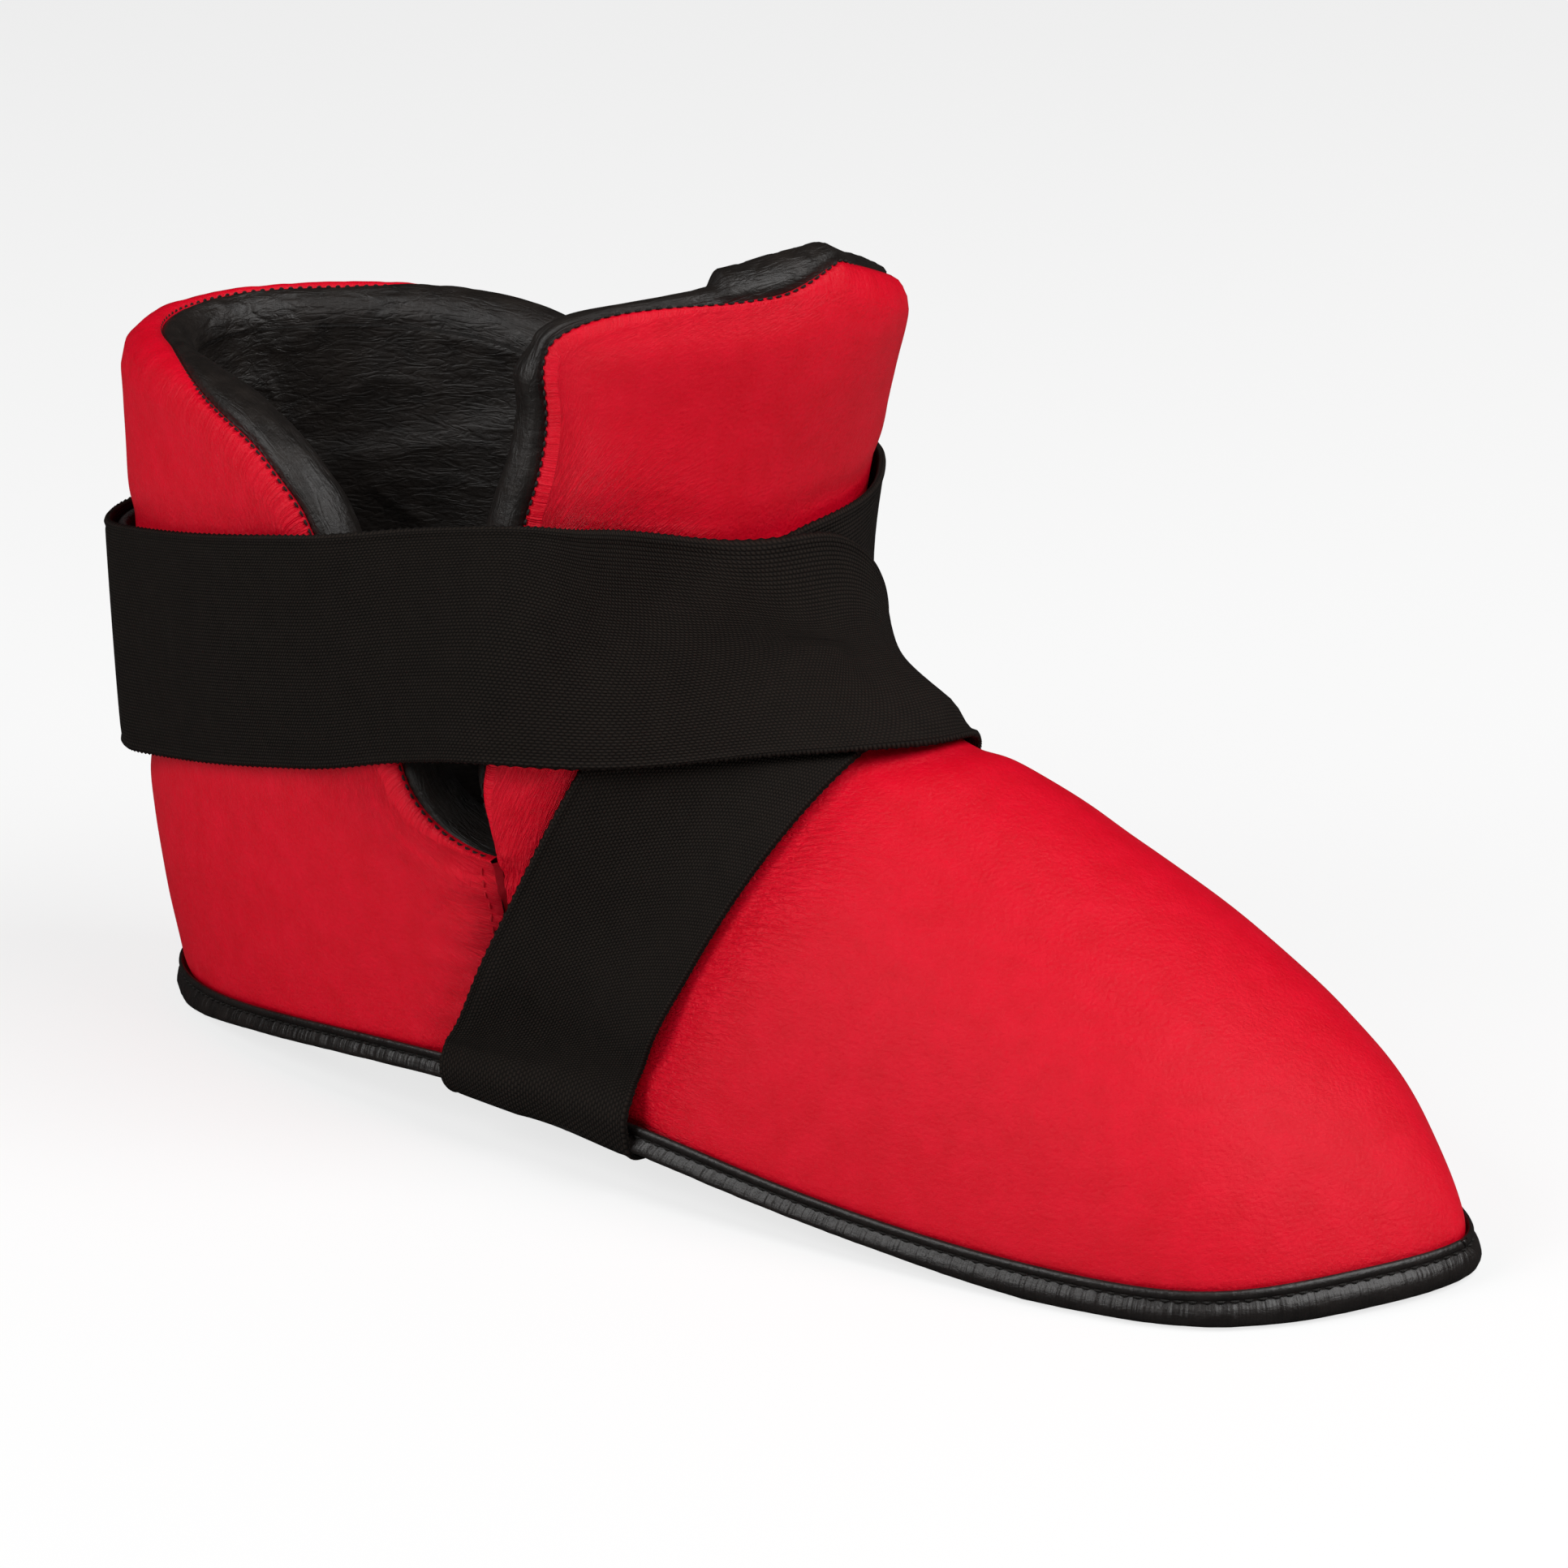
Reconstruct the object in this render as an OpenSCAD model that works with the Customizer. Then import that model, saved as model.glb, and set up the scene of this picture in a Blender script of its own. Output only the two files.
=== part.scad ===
// Open-soled padded foot guard for the right foot: a padded vamp with a tall tongue,
// a padded heel with a flap, and two crossed elastic straps closed behind the heel.
// Toes point along +X, the inner side of the foot is +Y, the floor is z = 0.

/* [Size] */
// Scale of the padded shape, for smaller and larger feet
size = 1; // [0.92:0.01:1.08]
// Half width added on each side
girth = 0; // [-2:0.5:3]
// Height added to the tongue
tongue_rise = 0; // [-6:1:8]
// Height added to the heel flap
flap_rise = 0; // [-5:1:6]

/* [Padding] */
// Foam thickness of every wall
foam = 12; // [9:0.5:12.5]
// Thickness of the red cover
cover = 1.2; // [0.8:0.1:1.5]
// Thickness of the black lining
lining = 1; // [0.6:0.1:1.3]

/* [Binding] */
// Depth of the roll under the wall
roll_depth = 3.2; // [2.6:0.1:4.2]
// Height of the stitched flange on the cover
flange = 3.5; // [2.5:0.5:4.5]

/* [Straps] */
// Thickness of the woven elastic
elastic = 1.8; // [1.2:0.1:2]
// Width of the strap behind the heel
strap_width = 48; // [44:1:52]
// Width of the elastic under the toes
toe_band_width = 24; // [16:1:28]

/* [Stitching] */
// Distance from stitch to stitch
stitch_pitch = 9; // [7:0.5:14]
// Thread thickness
thread = 0.7; // [0.5:0.1:0.9]

/* [Joints] */
// Open slit between the vamp and the tongue, and between the heel and its flap
slit = 1.2; // [0.8:0.1:1.6]

/* [Hidden] */
// Air between sewn layers
gap = 0.1;
// Depth from the outer face to the foam, the lining and the inner face
to_foam = cover + gap;
to_lining = to_foam + foam + gap;
to_inner = to_lining + lining;
// Height of the wall's lower edge
lift = roll_depth;
// Place of the ankle's own zero, so that the origin is under the middle of the part
middle = size*[14, 0.6, 0];

// Front panel, from the toe tip to the top of the tongue. Each row of the panel runs from the
// lower edge over the ridge: edge x, edge z, ridge x, ridge z, lateral and medial half width,
// middle of the edges, middle of the ridge, squareness of the sides, sharpness of the crown.
stations = [
    [140, 1, 140, 1, 0, 0, 7, 7, 2, 1],
    [132, 1, 128, 22, 21, 15, 4, 7, 2.1, 1],
    [116, 0, 112, 36, 38, 28, 2, 6, 2.2, 0.9],
    [92, 0, 90, 49, 44, 37, 0, 6, 2.3, 0.9],
    [60, 1, 63, 62, 47, 40, 0, 6, 2.3, 0.9],
    [22, 4, 38, 73, 48, 39.6, 0, 6, 2.2, 0.9],
    [-12, 7, 26, 78, 47, 38.6, 0, 5, 2.1, 0.95],
    [-33, 10, 15, 83, 45, 38, 0, 5, 2.1, 0.95],
    [-36, 33, 5, 88, 47, 42, 0, 4, 2, 1],
    [-36, 58, -3, 96, 51, 46, 0, 3, 2, 1],
    [-30, 96, -7, 114, 52, 50, 0, 3, 2, 1.25],
    [-23, 134, -1, 134, 47.5, 49, 3, 5, 2, 1.35],
    [-22.5, 149, 6, 149, 47.5, 46, 4, 6, 2, 1.35],
    [-21, 157, 8, 157, 45.5, 43, 4, 6, 2, 1.35],
    [-15, 162, 8, 162, 38, 37, 4, 6, 2, 1.35]];
// Heel panel by height, every 40 mm: back line, lateral and medial half width, front limit
heel_lines = [
    [-156, 43, 35.6, -32],
    [-162, 48, 42, -36],
    [-162, 54, 50, -34],
    [-161, 58, 55, -27],
    [-160, 58, 55, -20]];
// Top edge of the heel panel every 10 degrees from the back to the side
heel_tops = [131, 131, 131, 131, 131, 130, 126, 108, 68, 57];
// Rise of the heel's lower edge towards the arch
arch = 10;

function unit(v) = v/norm(v);
function spow(v, e) = sign(v)*pow(abs(v), e);
function clamp(v) = min(max(v, 0), 1);

// Bends of a natural cubic through evenly spaced values
function kick(v, i) = 6*(v[i + 1] - 2*v[i] + v[i - 1]);
function forth(v, i, c, d) = i > len(v) - 2 ? [] :
    let (e = 1/(4 - c), f = (kick(v, i) - d)*e) concat([[e, f]], forth(v, i + 1, e, f));
function back(f, i) = i > len(f) - 1 ? [0*f[0][1]] :
    let (r = back(f, i + 1)) concat([f[i][1] - f[i][0]*r[0]], r);
function bends(v) = concat([0*v[0]], back(forth(v, 1, 0, 0*v[0]), 0));
function along(v, m, t) =
    let (i = min(max(floor(t), 0), len(v) - 2), f = t - i, g = 1 - f)
    g*v[i] + f*v[i + 1] + ((pow(g, 3) - g)*m[i] + (pow(f, 3) - f)*m[i + 1])/6;

// Rows in use, with a mirrored row before the toe tip so that the nose is round
sized = [for (i = [0:len(stations) - 1]) let (
    q = stations[i],
    up = i > 11 ? tongue_rise*(i - 11)/3 : 0,
    wide = i == 0 ? 0 : girth)
    [q[0]*size, q[1]*size + up, q[2]*size, q[3]*size + up,
        q[4]*size + wide, q[5]*size + wide, q[6]*size, q[7]*size, q[8], q[9]]];
nose = sized[1];
rows = concat([[nose[0], nose[1], nose[2], 2*nose[1] - nose[3], -nose[4], -nose[5],
    nose[6], nose[7], nose[8], nose[9]]], sized);
row_bends = bends(rows);
function station(s) = along(rows, row_bends, s + 1);

// Outer face of the front panel: s runs from toe to tongue top, a from lateral to medial edge
function front(s, a) =
    let (q = station(s), c = -cos(a), h = pow(sin(a), q[9]),
        w = (c < 0 ? q[4] : q[5])*spow(c, 2/q[8]))
    [q[0] + (q[2] - q[0])*h, q[6] + w + (q[7] - q[6])*h, lift + q[1] + (q[3] - q[1])*h];
function front_raw(s, a) = unit(cross(
    front(s, min(a + 1, 180)) - front(s, max(a - 1, 0)),
    front(min(s + 0.05, 14), a) - front(max(s - 0.05, 0.03), a)));
// The wall is cut square across at the side seam and level along its lower edge, and its end
// beside the ankle leans like the wall a little further in
function near_edge(a, reach) = clamp(1 - min(a, 180 - a)/reach);
function square_cut(s, a) = near_edge(a, 30)*clamp((s - 5)/2)*clamp((10.5 - s)/1);
function level_cut(s, a) = max(near_edge(a, 25), clamp(1 - s/0.7))*clamp(7.5 - s);
function front_out(s, a) =
    let (m = 26*clamp(s - 9) + 8*clamp(s - 11.5), n = front_raw(s, min(max(a, m), 180 - m)))
    unit([n[0]*(1 - square_cut(s, a)), n[1], n[2]*(1 - level_cut(s, a))]);

// Outer face of the heel panel: t is the angle round the heel, negative on the lateral side
heel_bends = bends(heel_lines);
top_bends = bends(heel_tops);
function heel_line(z) = along(heel_lines, heel_bends, (z - lift + 6)/size/40)*size;
function heel_top(t) = lift + along(heel_tops, top_bends, abs(t)/10)*size + flap_rise*clamp((68 - abs(t))/20);
function heel_low(t) = lift + arch*size*pow(sin(t), 4);
function heel(t, z) =
    let (q = heel_line(z), w = (t < 0 ? q[1] : q[2]) + girth)
    [q[3] - 1.5 + (q[0] - q[3] + 1.5)*spow(cos(t), 2/2.2), w*spow(sin(t), 2/2.2), z];
function heel_out(t, z) = unit(cross(
    heel(t, z + 1) - heel(t, z - 1),
    heel(min(t + 1, 90), z) - heel(max(t - 1, -90), z)));
// The strap's upper edge behind the ankle, and the heel's slit just above it
function strap_top(x) = lift + size*(97 + 31*clamp((x/size + 162)/138));
function slit_z(x) = strap_top(x) + 2.5;

// Point grids and normals of the four padded walls
arcs = [0, 12, 27, 43, 60, 77, 95, 113, 130, 147, 165, 180];
vamp_s = [0.12, 0.5, 1, 1.7, 2.5, 3.3, 4.1, 5, 6, 7, 7.7, 8.4, 9, 9.2, 9.45, 10, 10.5, 11 - slit/80];
tongue_s = [11 + slit/34, 11.6, 12.3, 13, 13.5, 14];
// The tongue's top edge is rounded at its lateral corner and lower on the medial side
function tongue_end(a) = 14 - 1.3*pow(1 - clamp(a/45), 2) - 2.1*(1 - pow(1 - clamp((a - 86)/94), 4));
function on_tongue(s, a) = let (low = tongue_s[0]) s <= low ? s : low + (s - low)*(tongue_end(a) - low)/(14 - low);
function net(ss, f) = [for (s = ss) [for (a = arcs)
    let (r = on_tongue(s, a)) f == 0 ? front(r, a) : front_out(r, a)]];
vamp_p = net(vamp_s, 0);
vamp_n = net(vamp_s, 1);
tongue_p = net(tongue_s, 0);
tongue_n = net(tongue_s, 1);
heel_half = [90, 87, 84, 81, 78, 75, 72, 68.5, 62, 54, 47, 40, 33, 24, 12];
heel_t = concat(heel_half, [0], [for (i = [len(heel_half) - 1:-1:0]) -heel_half[i]]);
heel_k = [0, 0.17, 0.34, 0.5, 0.67, 0.84, 1];
function heel_mid(t) = min(heel_top(t), slit_z(heel(t, lift + 100*size)[0]) - slit/2);
function heel_z(t, k) = heel_low(t) + k*(heel_mid(t) - heel_low(t));
heel_p = [for (k = heel_k) [for (t = heel_t) heel(t, heel_z(t, k))]];
heel_n = [for (k = heel_k) [for (t = heel_t) heel_out(t, heel_z(t, k))]];
flap_t = [60.5, 54, 45, 35, 24, 12, 0, -12, -24, -35, -45, -54, -60.5];
flap_k = [0, 0.25, 0.5, 0.75, 1];
function flap_z(t, k) = let (z = slit_z(heel(t, lift + 100*size)[0]) + slit/2) z + k*(heel_top(t) - z);
flap_p = [for (k = flap_k) [for (t = flap_t) heel(t, flap_z(t, k))]];
flap_n = [for (k = flap_k) [for (t = flap_t) heel_out(t, flap_z(t, k))]];

// How far the padding swells past each edge: beside every row, and past the last row
vamp_side = [for (s = vamp_s) clamp((s - 9)/0.45)];
vamp_top = [for (a = arcs) 0];
tongue_side = [for (s = tongue_s) 1];
tongue_top = [for (a = arcs) 1];
heel_side = [for (k = heel_k) 0];
heel_swell = [for (t = heel_t) clamp((abs(t) - 66)/4)*clamp((90 - abs(t))/12)];
flap_side = [for (k = flap_k) clamp(0.15 + 3*k)];
flap_top = [for (t = flap_t) 1];

function deep(p, n, d) = [for (i = [0:len(p) - 1]) [for (j = [0:len(p[0]) - 1]) p[i][j] - d*n[i][j]]];
// Grid places round the rim of a net
function loop(m, n) = concat(
    [for (j = [0:n - 2]) [0, j]],
    [for (i = [0:m - 2]) [i, n - 1]],
    [for (j = [n - 1:-1:1]) [m - 1, j]],
    [for (i = [m - 1:-1:1]) [i, 0]]);
// Direction square to a rim's run within the wall, away from the inner neighbour
function away(run, n, inner) = let (c = unit(cross(run, n))) c*inner > 0 ? -c : c;
// Rim place: middle of the foam, outward direction of the wall, outward direction of the edge, swell
function rim_at(p, n, side, top, i, j) =
    let (m = len(p) - 1, k = len(p[0]) - 1, o = p[i][j],
        js = j == 0 || j == k ? side[i] : 0,
        it = i == m ? top[j] : 0,
        bj = js == 0 ? [0, 0, 0]
            : away(p[min(i + 1, m)][j] - p[max(i - 1, 0)][j], n[i][j], p[i][j == 0 ? 1 : k - 1] - o),
        bi = it == 0 ? [0, 0, 0]
            : away(p[i][min(j + 1, k)] - p[i][max(j - 1, 0)], n[i][j], p[m - 1][j] - o),
        b = js*bj + it*bi)
    [o - (to_foam + foam/2)*n[i][j], n[i][j], norm(b) < 1e-6 ? [0, 0, 0] : unit(b), max(js, it)];
function rim_point(r, f, o) = r[0] + (foam/2 + o)*cos(f)*r[1] + (r[3]*foam/2 + o)*sin(f)*r[2];

function quad(a, b, c, d) = [[a, b, c], [a, c, d]];
// Closed solid between two matching nets, with optional points round its rim
module slab(a, b, rim = []) {
    m = len(a);
    n = len(a[0]);
    way = loop(m, n);
    k = len(way);
    r = len(rim) > 0 ? len(rim[0]) : 0;
    function id(t, c) = c == 0 ? way[t % k][0]*n + way[t % k][1]
        : c == r + 1 ? m*n + way[t % k][0]*n + way[t % k][1] : 2*m*n + (t % k)*r + c - 1;
    polyhedron(
        points = [for (g = [a, b, rim], q = g, v = q) v + middle],
        faces = concat(
            [for (i = [0:m - 2], j = [0:n - 2])
                each quad(i*n + j, i*n + n + j, i*n + n + j + 1, i*n + j + 1)],
            [for (i = [0:m - 2], j = [0:n - 2])
                each quad(m*n + i*n + j, m*n + i*n + j + 1, m*n + i*n + n + j + 1, m*n + i*n + n + j)],
            [for (t = [0:k - 1], c = [0:r])
                each quad(id(t, c), id(t + 1, c), id(t + 1, c + 1), id(t, c + 1))]),
        convexity = 8);
}
// Closed solid through matching rings
module tube(rings) {
    m = len(rings);
    n = len(rings[0]);
    polyhedron(
        points = [for (q = rings, v = q) v + middle],
        faces = concat(
            [for (i = [0:m - 2], j = [0:n - 1])
                each quad(i*n + j, i*n + n + j, i*n + n + (j + 1) % n, i*n + (j + 1) % n)],
            [[for (j = [0:n - 1]) j]],
            [[for (j = [n - 1:-1:0]) (m - 1)*n + j]]),
        convexity = 8);
}
module pad(p, n, side, top) {
    way = loop(len(p), len(p[0]));
    rim = [for (w = way) let (r = rim_at(p, n, side, top, w[0], w[1]))
        [for (f = [50, 90, 130]) rim_point(r, f, 0)]];
    slab(deep(p, n, to_foam), deep(p, n, to_foam + foam), rim);
}
// Soft roll over the swollen edge of a padded wall, along the given rim places
module edge_roll(places) {
    turn = [5, 50, 90, 130, 175];
    slab([for (r = places) [for (f = turn) rim_point(r, f, gap + lining)]],
        [for (r = places) [for (f = turn) rim_point(r, f, gap)]]);
}

// Padded walls
module vamp_cover() color("#d8062a") slab(vamp_p, deep(vamp_p, vamp_n, cover));
module vamp_foam() color("#d9d4c6") pad(vamp_p, vamp_n, vamp_side, vamp_top);
module vamp_lining() color("#1c1a19") slab(deep(vamp_p, vamp_n, to_lining), deep(vamp_p, vamp_n, to_inner));
module tongue_cover() color("#d8062a") slab(tongue_p, deep(tongue_p, tongue_n, cover));
module tongue_foam() color("#d9d4c6") pad(tongue_p, tongue_n, tongue_side, tongue_top);
module tongue_lining() color("#1c1a19")
    slab(deep(tongue_p, tongue_n, to_lining), deep(tongue_p, tongue_n, to_inner));
module heel_cover() color("#d8062a") slab(heel_p, deep(heel_p, heel_n, cover));
module heel_foam() color("#d9d4c6") pad(heel_p, heel_n, heel_side, heel_swell);
module heel_lining() color("#1c1a19") slab(deep(heel_p, heel_n, to_lining), deep(heel_p, heel_n, to_inner));
module flap_cover() color("#d8062a") slab(flap_p, deep(flap_p, flap_n, cover));
module flap_foam() color("#d9d4c6") pad(flap_p, flap_n, flap_side, flap_top);
module flap_lining() color("#1c1a19") slab(deep(flap_p, flap_n, to_lining), deep(flap_p, flap_n, to_inner));

// Black rolls on the open edges
function vamp_rim(i, j) = rim_at(vamp_p, vamp_n, vamp_side, vamp_top, i, j);
function tongue_rim(i, j) = rim_at(tongue_p, tongue_n, tongue_side, tongue_top, i, j);
function heel_rim(j) = rim_at(heel_p, heel_n, heel_side, heel_swell, len(heel_p) - 1, j);
function flap_rim(i, j) = rim_at(flap_p, flap_n, flap_side, flap_top, i, j);
u_first = 13;
u_last = len(vamp_s) - 1;
module collar_roll_lateral() color("#1f1c1b") edge_roll([for (i = [u_last:-1:u_first]) vamp_rim(i, 0)]);
module collar_roll_medial() color("#1f1c1b")
    edge_roll([for (i = [u_first:u_last]) vamp_rim(i, len(arcs) - 1)]);
module tongue_roll() color("#1f1c1b") {
    m = len(tongue_s) - 1;
    k = len(arcs) - 1;
    edge_roll(concat(
        [for (i = [0:m]) tongue_rim(i, k)],
        [for (j = [k - 1:-1:1]) tongue_rim(m, j)],
        [for (i = [m:-1:0]) tongue_rim(i, 0)]));
}
module heel_roll_lateral() color("#1f1c1b")
    edge_roll([for (j = [len(heel_t) - 2:-1:len(heel_t) - 8]) heel_rim(j)]);
module heel_roll_medial() color("#1f1c1b") edge_roll([for (j = [7:-1:1]) heel_rim(j)]);
module flap_roll() color("#1f1c1b") {
    m = len(flap_k) - 1;
    k = len(flap_t) - 1;
    edge_roll(concat(
        [for (i = [0:m]) flap_rim(i, k)],
        [for (j = [k - 1:-1:1]) flap_rim(m, j)],
        [for (i = [m:-1:0]) flap_rim(i, 0)]));
}

// Binding: a flange on the cover and a roll under the wall, flat where it stands on the floor.
// A ring takes the wall's lower edge, the point of the cover at the flange's height and the outward side.
binding_in = min(to_inner - 3, 10);
function binding_ring(p, top, n) =
    let (h = unit([n[0], n[1], 0]), low = max(0, p[2] - roll_depth - 0.8) - p[2])
    concat([for (q = [[1.5, 0.4], [1.8, low*0.35], [1.3, low*0.75], [-0.5, low], [2 - binding_in, low],
            [-binding_in, low*0.6], [-binding_in, -0.5], [0.4, -0.5]])
        [p[0] + q[0]*h[0], p[1] + q[0]*h[1], p[2] + q[1]]], [top + 0.4*h, top + 1.5*h]);
function flange_arc(s) = let (q = station(s)) asin(pow(clamp(flange/(q[3] - q[1])), 1/q[9]));
function toe_ring(s, w) = let (a = flange_arc(s))
    binding_ring(front(s, w < 0 ? 0 : 180), front(s, w < 0 ? a : 180 - a), front_out(s, w < 0 ? 0 : 180));
edge_s = [7, 6.5, 6, 5.5, 5, 4.5, 4, 3.5, 3, 2.5, 2, 1.5, 1, 0.6, 0.3];
module toe_binding() color("#171514") tube(concat(
    [for (s = edge_s) toe_ring(s, -1)],
    [binding_ring(front(0.05, 90), front(0.2, 90), [1, 0, 0])],
    [for (i = [len(edge_s) - 1:-1:0]) toe_ring(edge_s[i], 1)]));
module heel_binding() color("#171514")
    tube([for (t = [90, 80, 70, 60, 50, 40, 30, 20, 10, 0, -10, -20, -30, -40, -50, -60, -70, -80, -90])
        binding_ring(heel(t, heel_low(t)), heel(t, heel_low(t) + flange), heel_out(t, heel_low(t)))]);

// Seam tapes inside the two side seams, from the heel's lining to the vamp's
module side_seam(w) {
    d = to_inner + 0.5;
    rows = [for (s = [7.3, 7.6, 8, 8.4, 8.8]) let (
        z = front(s, 0)[2], a = w < 0 ? 9 : 171,
        p = heel(w*85, z) - d*heel_out(w*85, z),
        q = front(s, a) - d*front_out(s, a))
        w < 0 ? [p, q] : [q, p]];
    slab(rows, [for (r = rows) [for (q = r) q - w*[0, 1, 0]]]);
}
module side_seam_lateral() color("#141312") side_seam(-1);
module side_seam_medial() color("#141312") side_seam(1);

// Side view to surface: the row of the front panel through a point, then the point on that flank
function row_at(x, z, lo, hi, k) = k == 0 ? (lo + hi)/2 :
    let (m = (lo + hi)/2, q = station(m), e = z - lift)
    (x - q[0])*(q[3] - q[1]) - (e - q[1])*(q[2] - q[0]) > 0 ?
        row_at(x, z, lo, m, k - 1) : row_at(x, z, m, hi, k - 1);
function on_front(x, z, w) =
    let (q = station(row_at(x, z, 3, 11.2, 18)), dx = q[2] - q[0], dz = q[3] - q[1],
        h = clamp(abs(dz) > abs(dx) ? (z - lift - q[1])/dz : (x - q[0])/dx),
        c = pow(sqrt(max(1 - pow(h, 2/q[9]), 0)), 2/q[8]))
    [x, q[6] + (w < 0 ? -q[4] : q[5])*c + (q[7] - q[6])*h, z];
function on_heel(x, z, w) =
    let (q = heel_line(z), c = pow(clamp((x - q[3] + 1.5)/(q[0] - q[3] + 1.5)), 1.1))
    [x, w*((w < 0 ? q[1] : q[2]) + girth)*pow(sqrt(max(1 - c*c, 0)), 2/2.2), z];
function flank(x, z, w) =
    x < heel_line(z)[3] - 1 && z < lift + 62*size ? on_heel(x, z, w) : on_front(x, z, w);

// Straps. Fibres run from f = 0, the upper or rear edge, to f = 1, the lower or front edge.
fibres = [0, 0.25, 0.5, 0.75, 1];
function mix(a, b, f) = a + (b - a)*f;
function ridge_at(s) = let (q = station(s)) [q[2], lift + q[3]];
function ankle_at(s) = let (q = station(s)) [q[0], lift + q[1]];
// Level part on one flank, from the ankle edge at u = 0 to the ridge at u = 1
function level(f, u, w, r) =
    let (a = ankle_at(w < 0 ? mix(10.67, 9.58, f) : mix(10.5, 9.3, f)), b = ridge_at(mix(r[0], r[1], f)),
        k = 1 - (1 - u)*(1 - u), bow = w < 0 ? mix(6 + 20*k, -6, f) : -7,
        p = mix(a, b, k) + [0, size*bow*k*(1 - k)])
    u > 0.99 ? front(mix(r[0], r[1], f), 90) : flank(p[0], p[1], w);
// Falling part on one flank, from the ridge at v = 0 to the sole at v = 1
function fall(f, v, w, r) =
    let (a = ridge_at(mix(r[0], r[1], f)), t = v*v, g = 1 - t,
        b = size*mix([-12, 92], [13, 64], f) + [0, lift],
        c = size*mix([-32, 49], [-1, 36], f) + [0, lift],
        d = [size*mix(-53, -6, f), 15 + lift],
        p = g*g*g*a + 3*g*g*t*b + 3*g*t*t*c + t*t*t*d)
    v < 0.01 ? front(mix(r[0], r[1], f), 90) : flank(p[0], p[1], w);
// Part behind the ankle, and the free length from there to the ankle edge
function bridge(f, k, w, r) = mix(rear(f, w*74), level(f, 0, w, r), k) + [0, 0, size*3*k*(1 - k)];
function rear(f, t) =
    let (x = heel(t, lift + 80*size)[0], z = strap_top(x)) heel(t, z - strap_width*f);
upper_r = [9.97, 5.75];
lower_r = [9.97, 6.5];
upper_path = concat(
    [for (t = [-37, -46, -55, -62, -68, -74]) [for (f = fibres) rear(f, t)]],
    [for (k = [0.4, 0.75]) [for (f = fibres) bridge(f, k, -1, upper_r)]],
    [for (u = [0, 0.16, 0.32, 0.46, 0.6, 0.75, 0.88, 1]) [for (f = fibres) level(f, u, -1, upper_r)]],
    [for (v = [0.2, 0.35, 0.5, 0.62, 0.73, 0.82, 0.91, 1]) [for (f = fibres) fall(f, v, 1, upper_r)]]);
lower_path = concat(
    [for (v = [1, 0.91, 0.82, 0.73, 0.62, 0.5, 0.35, 0.2, 0]) [for (f = fibres) fall(f, v, -1, lower_r)]],
    [for (u = [0.88, 0.75, 0.6, 0.46, 0.32, 0.16, 0]) [for (f = fibres) level(f, u, 1, lower_r)]],
    [for (k = [0.75, 0.4]) [for (f = fibres) bridge(f, k, 1, lower_r)]],
    [for (t = [74, 68, 62, 55, 52]) [for (f = fibres) rear(f, t)]]);
function lean(g) = [for (i = [0:len(g) - 1]) [for (j = [0:len(g[0]) - 1]) unit(cross(
    g[i][min(j + 1, len(g[0]) - 1)] - g[i][max(j - 1, 0)],
    g[min(i + 1, len(g) - 1)][j] - g[max(i - 1, 0)][j]))]];
// A band of the given thickness over a net, each row at its own height
module ribbon(g, heights, thick) {
    n = lean(g);
    function at_height(e) = [for (i = [0:len(g) - 1])
        [for (j = [0:len(g[0]) - 1]) g[i][j] + (heights[i] + e)*n[i][j]]];
    slab(at_height(thick), at_height(0));
}
low_h = 1.8;
high_h = low_h + elastic + 1.6;
sole_h = 3;
module upper_strap() color("#121111") ribbon(upper_path,
    [for (i = [0:len(upper_path) - 1]) i < 8 ? mix(low_h, high_h, max(clamp(1 - i/2), clamp((i - 5.5)/2)))
        : mix(high_h, sole_h, clamp((i - 18)/4))], elastic);
module lower_strap() color("#121111") ribbon(lower_path,
    [for (i = [0:len(lower_path) - 1]) i < 4 ? mix(sole_h, low_h, i/4)
        : low_h + 2.2*clamp(2 - abs(i - 16))], elastic);
module rear_ribbon(ts, fs, h, thick)
    ribbon([for (t = ts) [for (f = fs) rear(f, t)]], [for (t = ts) h], thick);
module loop_panel() color("#0d0d0d") rear_ribbon(
    [50.5, 40, 32, 24, 16, 8, 0, -8, -16, -24, -32], [0.02, 0.25, 0.5, 0.75, 0.98], low_h, elastic);
module strap_tail() color("#121111")
    rear_ribbon([24, 16, 8, 0, -8, -16, -24, -32, -36], fibres, high_h, elastic);
module hook_patch() color("#0b0b0b")
    rear_ribbon([22, 16, 8, 0, -8, -16], [0.08, 0.25, 0.5, 0.75, 0.92], high_h - 1.35, 1.1);

// Elastic under the arch: outward and downward steps from the strap's end to the middle of the sole
band_x = [-7, -18, -29.5, -41, -52];
band_steps = [[sole_h, 0], [sole_h, -8.5], [2.2, -11], [-2.5, -12.7], [-22, -12.9]];
module under_band() {
    z = 14 + lift;
    last = len(band_steps) - 1;
    function band_row(w, step, d) =
        let (c = step[1] > -9 ? 0 : step[1] < -12 ? 1 : 0.7)
        [for (x = band_x*size) [x, flank(x, z, w)[1] + w*(step[0] + d*(1 - c*c)), z + step[1] - d*c]];
    function course(d) = concat(
        [for (i = [0:last]) band_row(-1, band_steps[i], d)],
        [for (i = [last:-1:0]) band_row(1, band_steps[i], d)]);
    color("#121111") slab(course(elastic), course(0));
}
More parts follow.
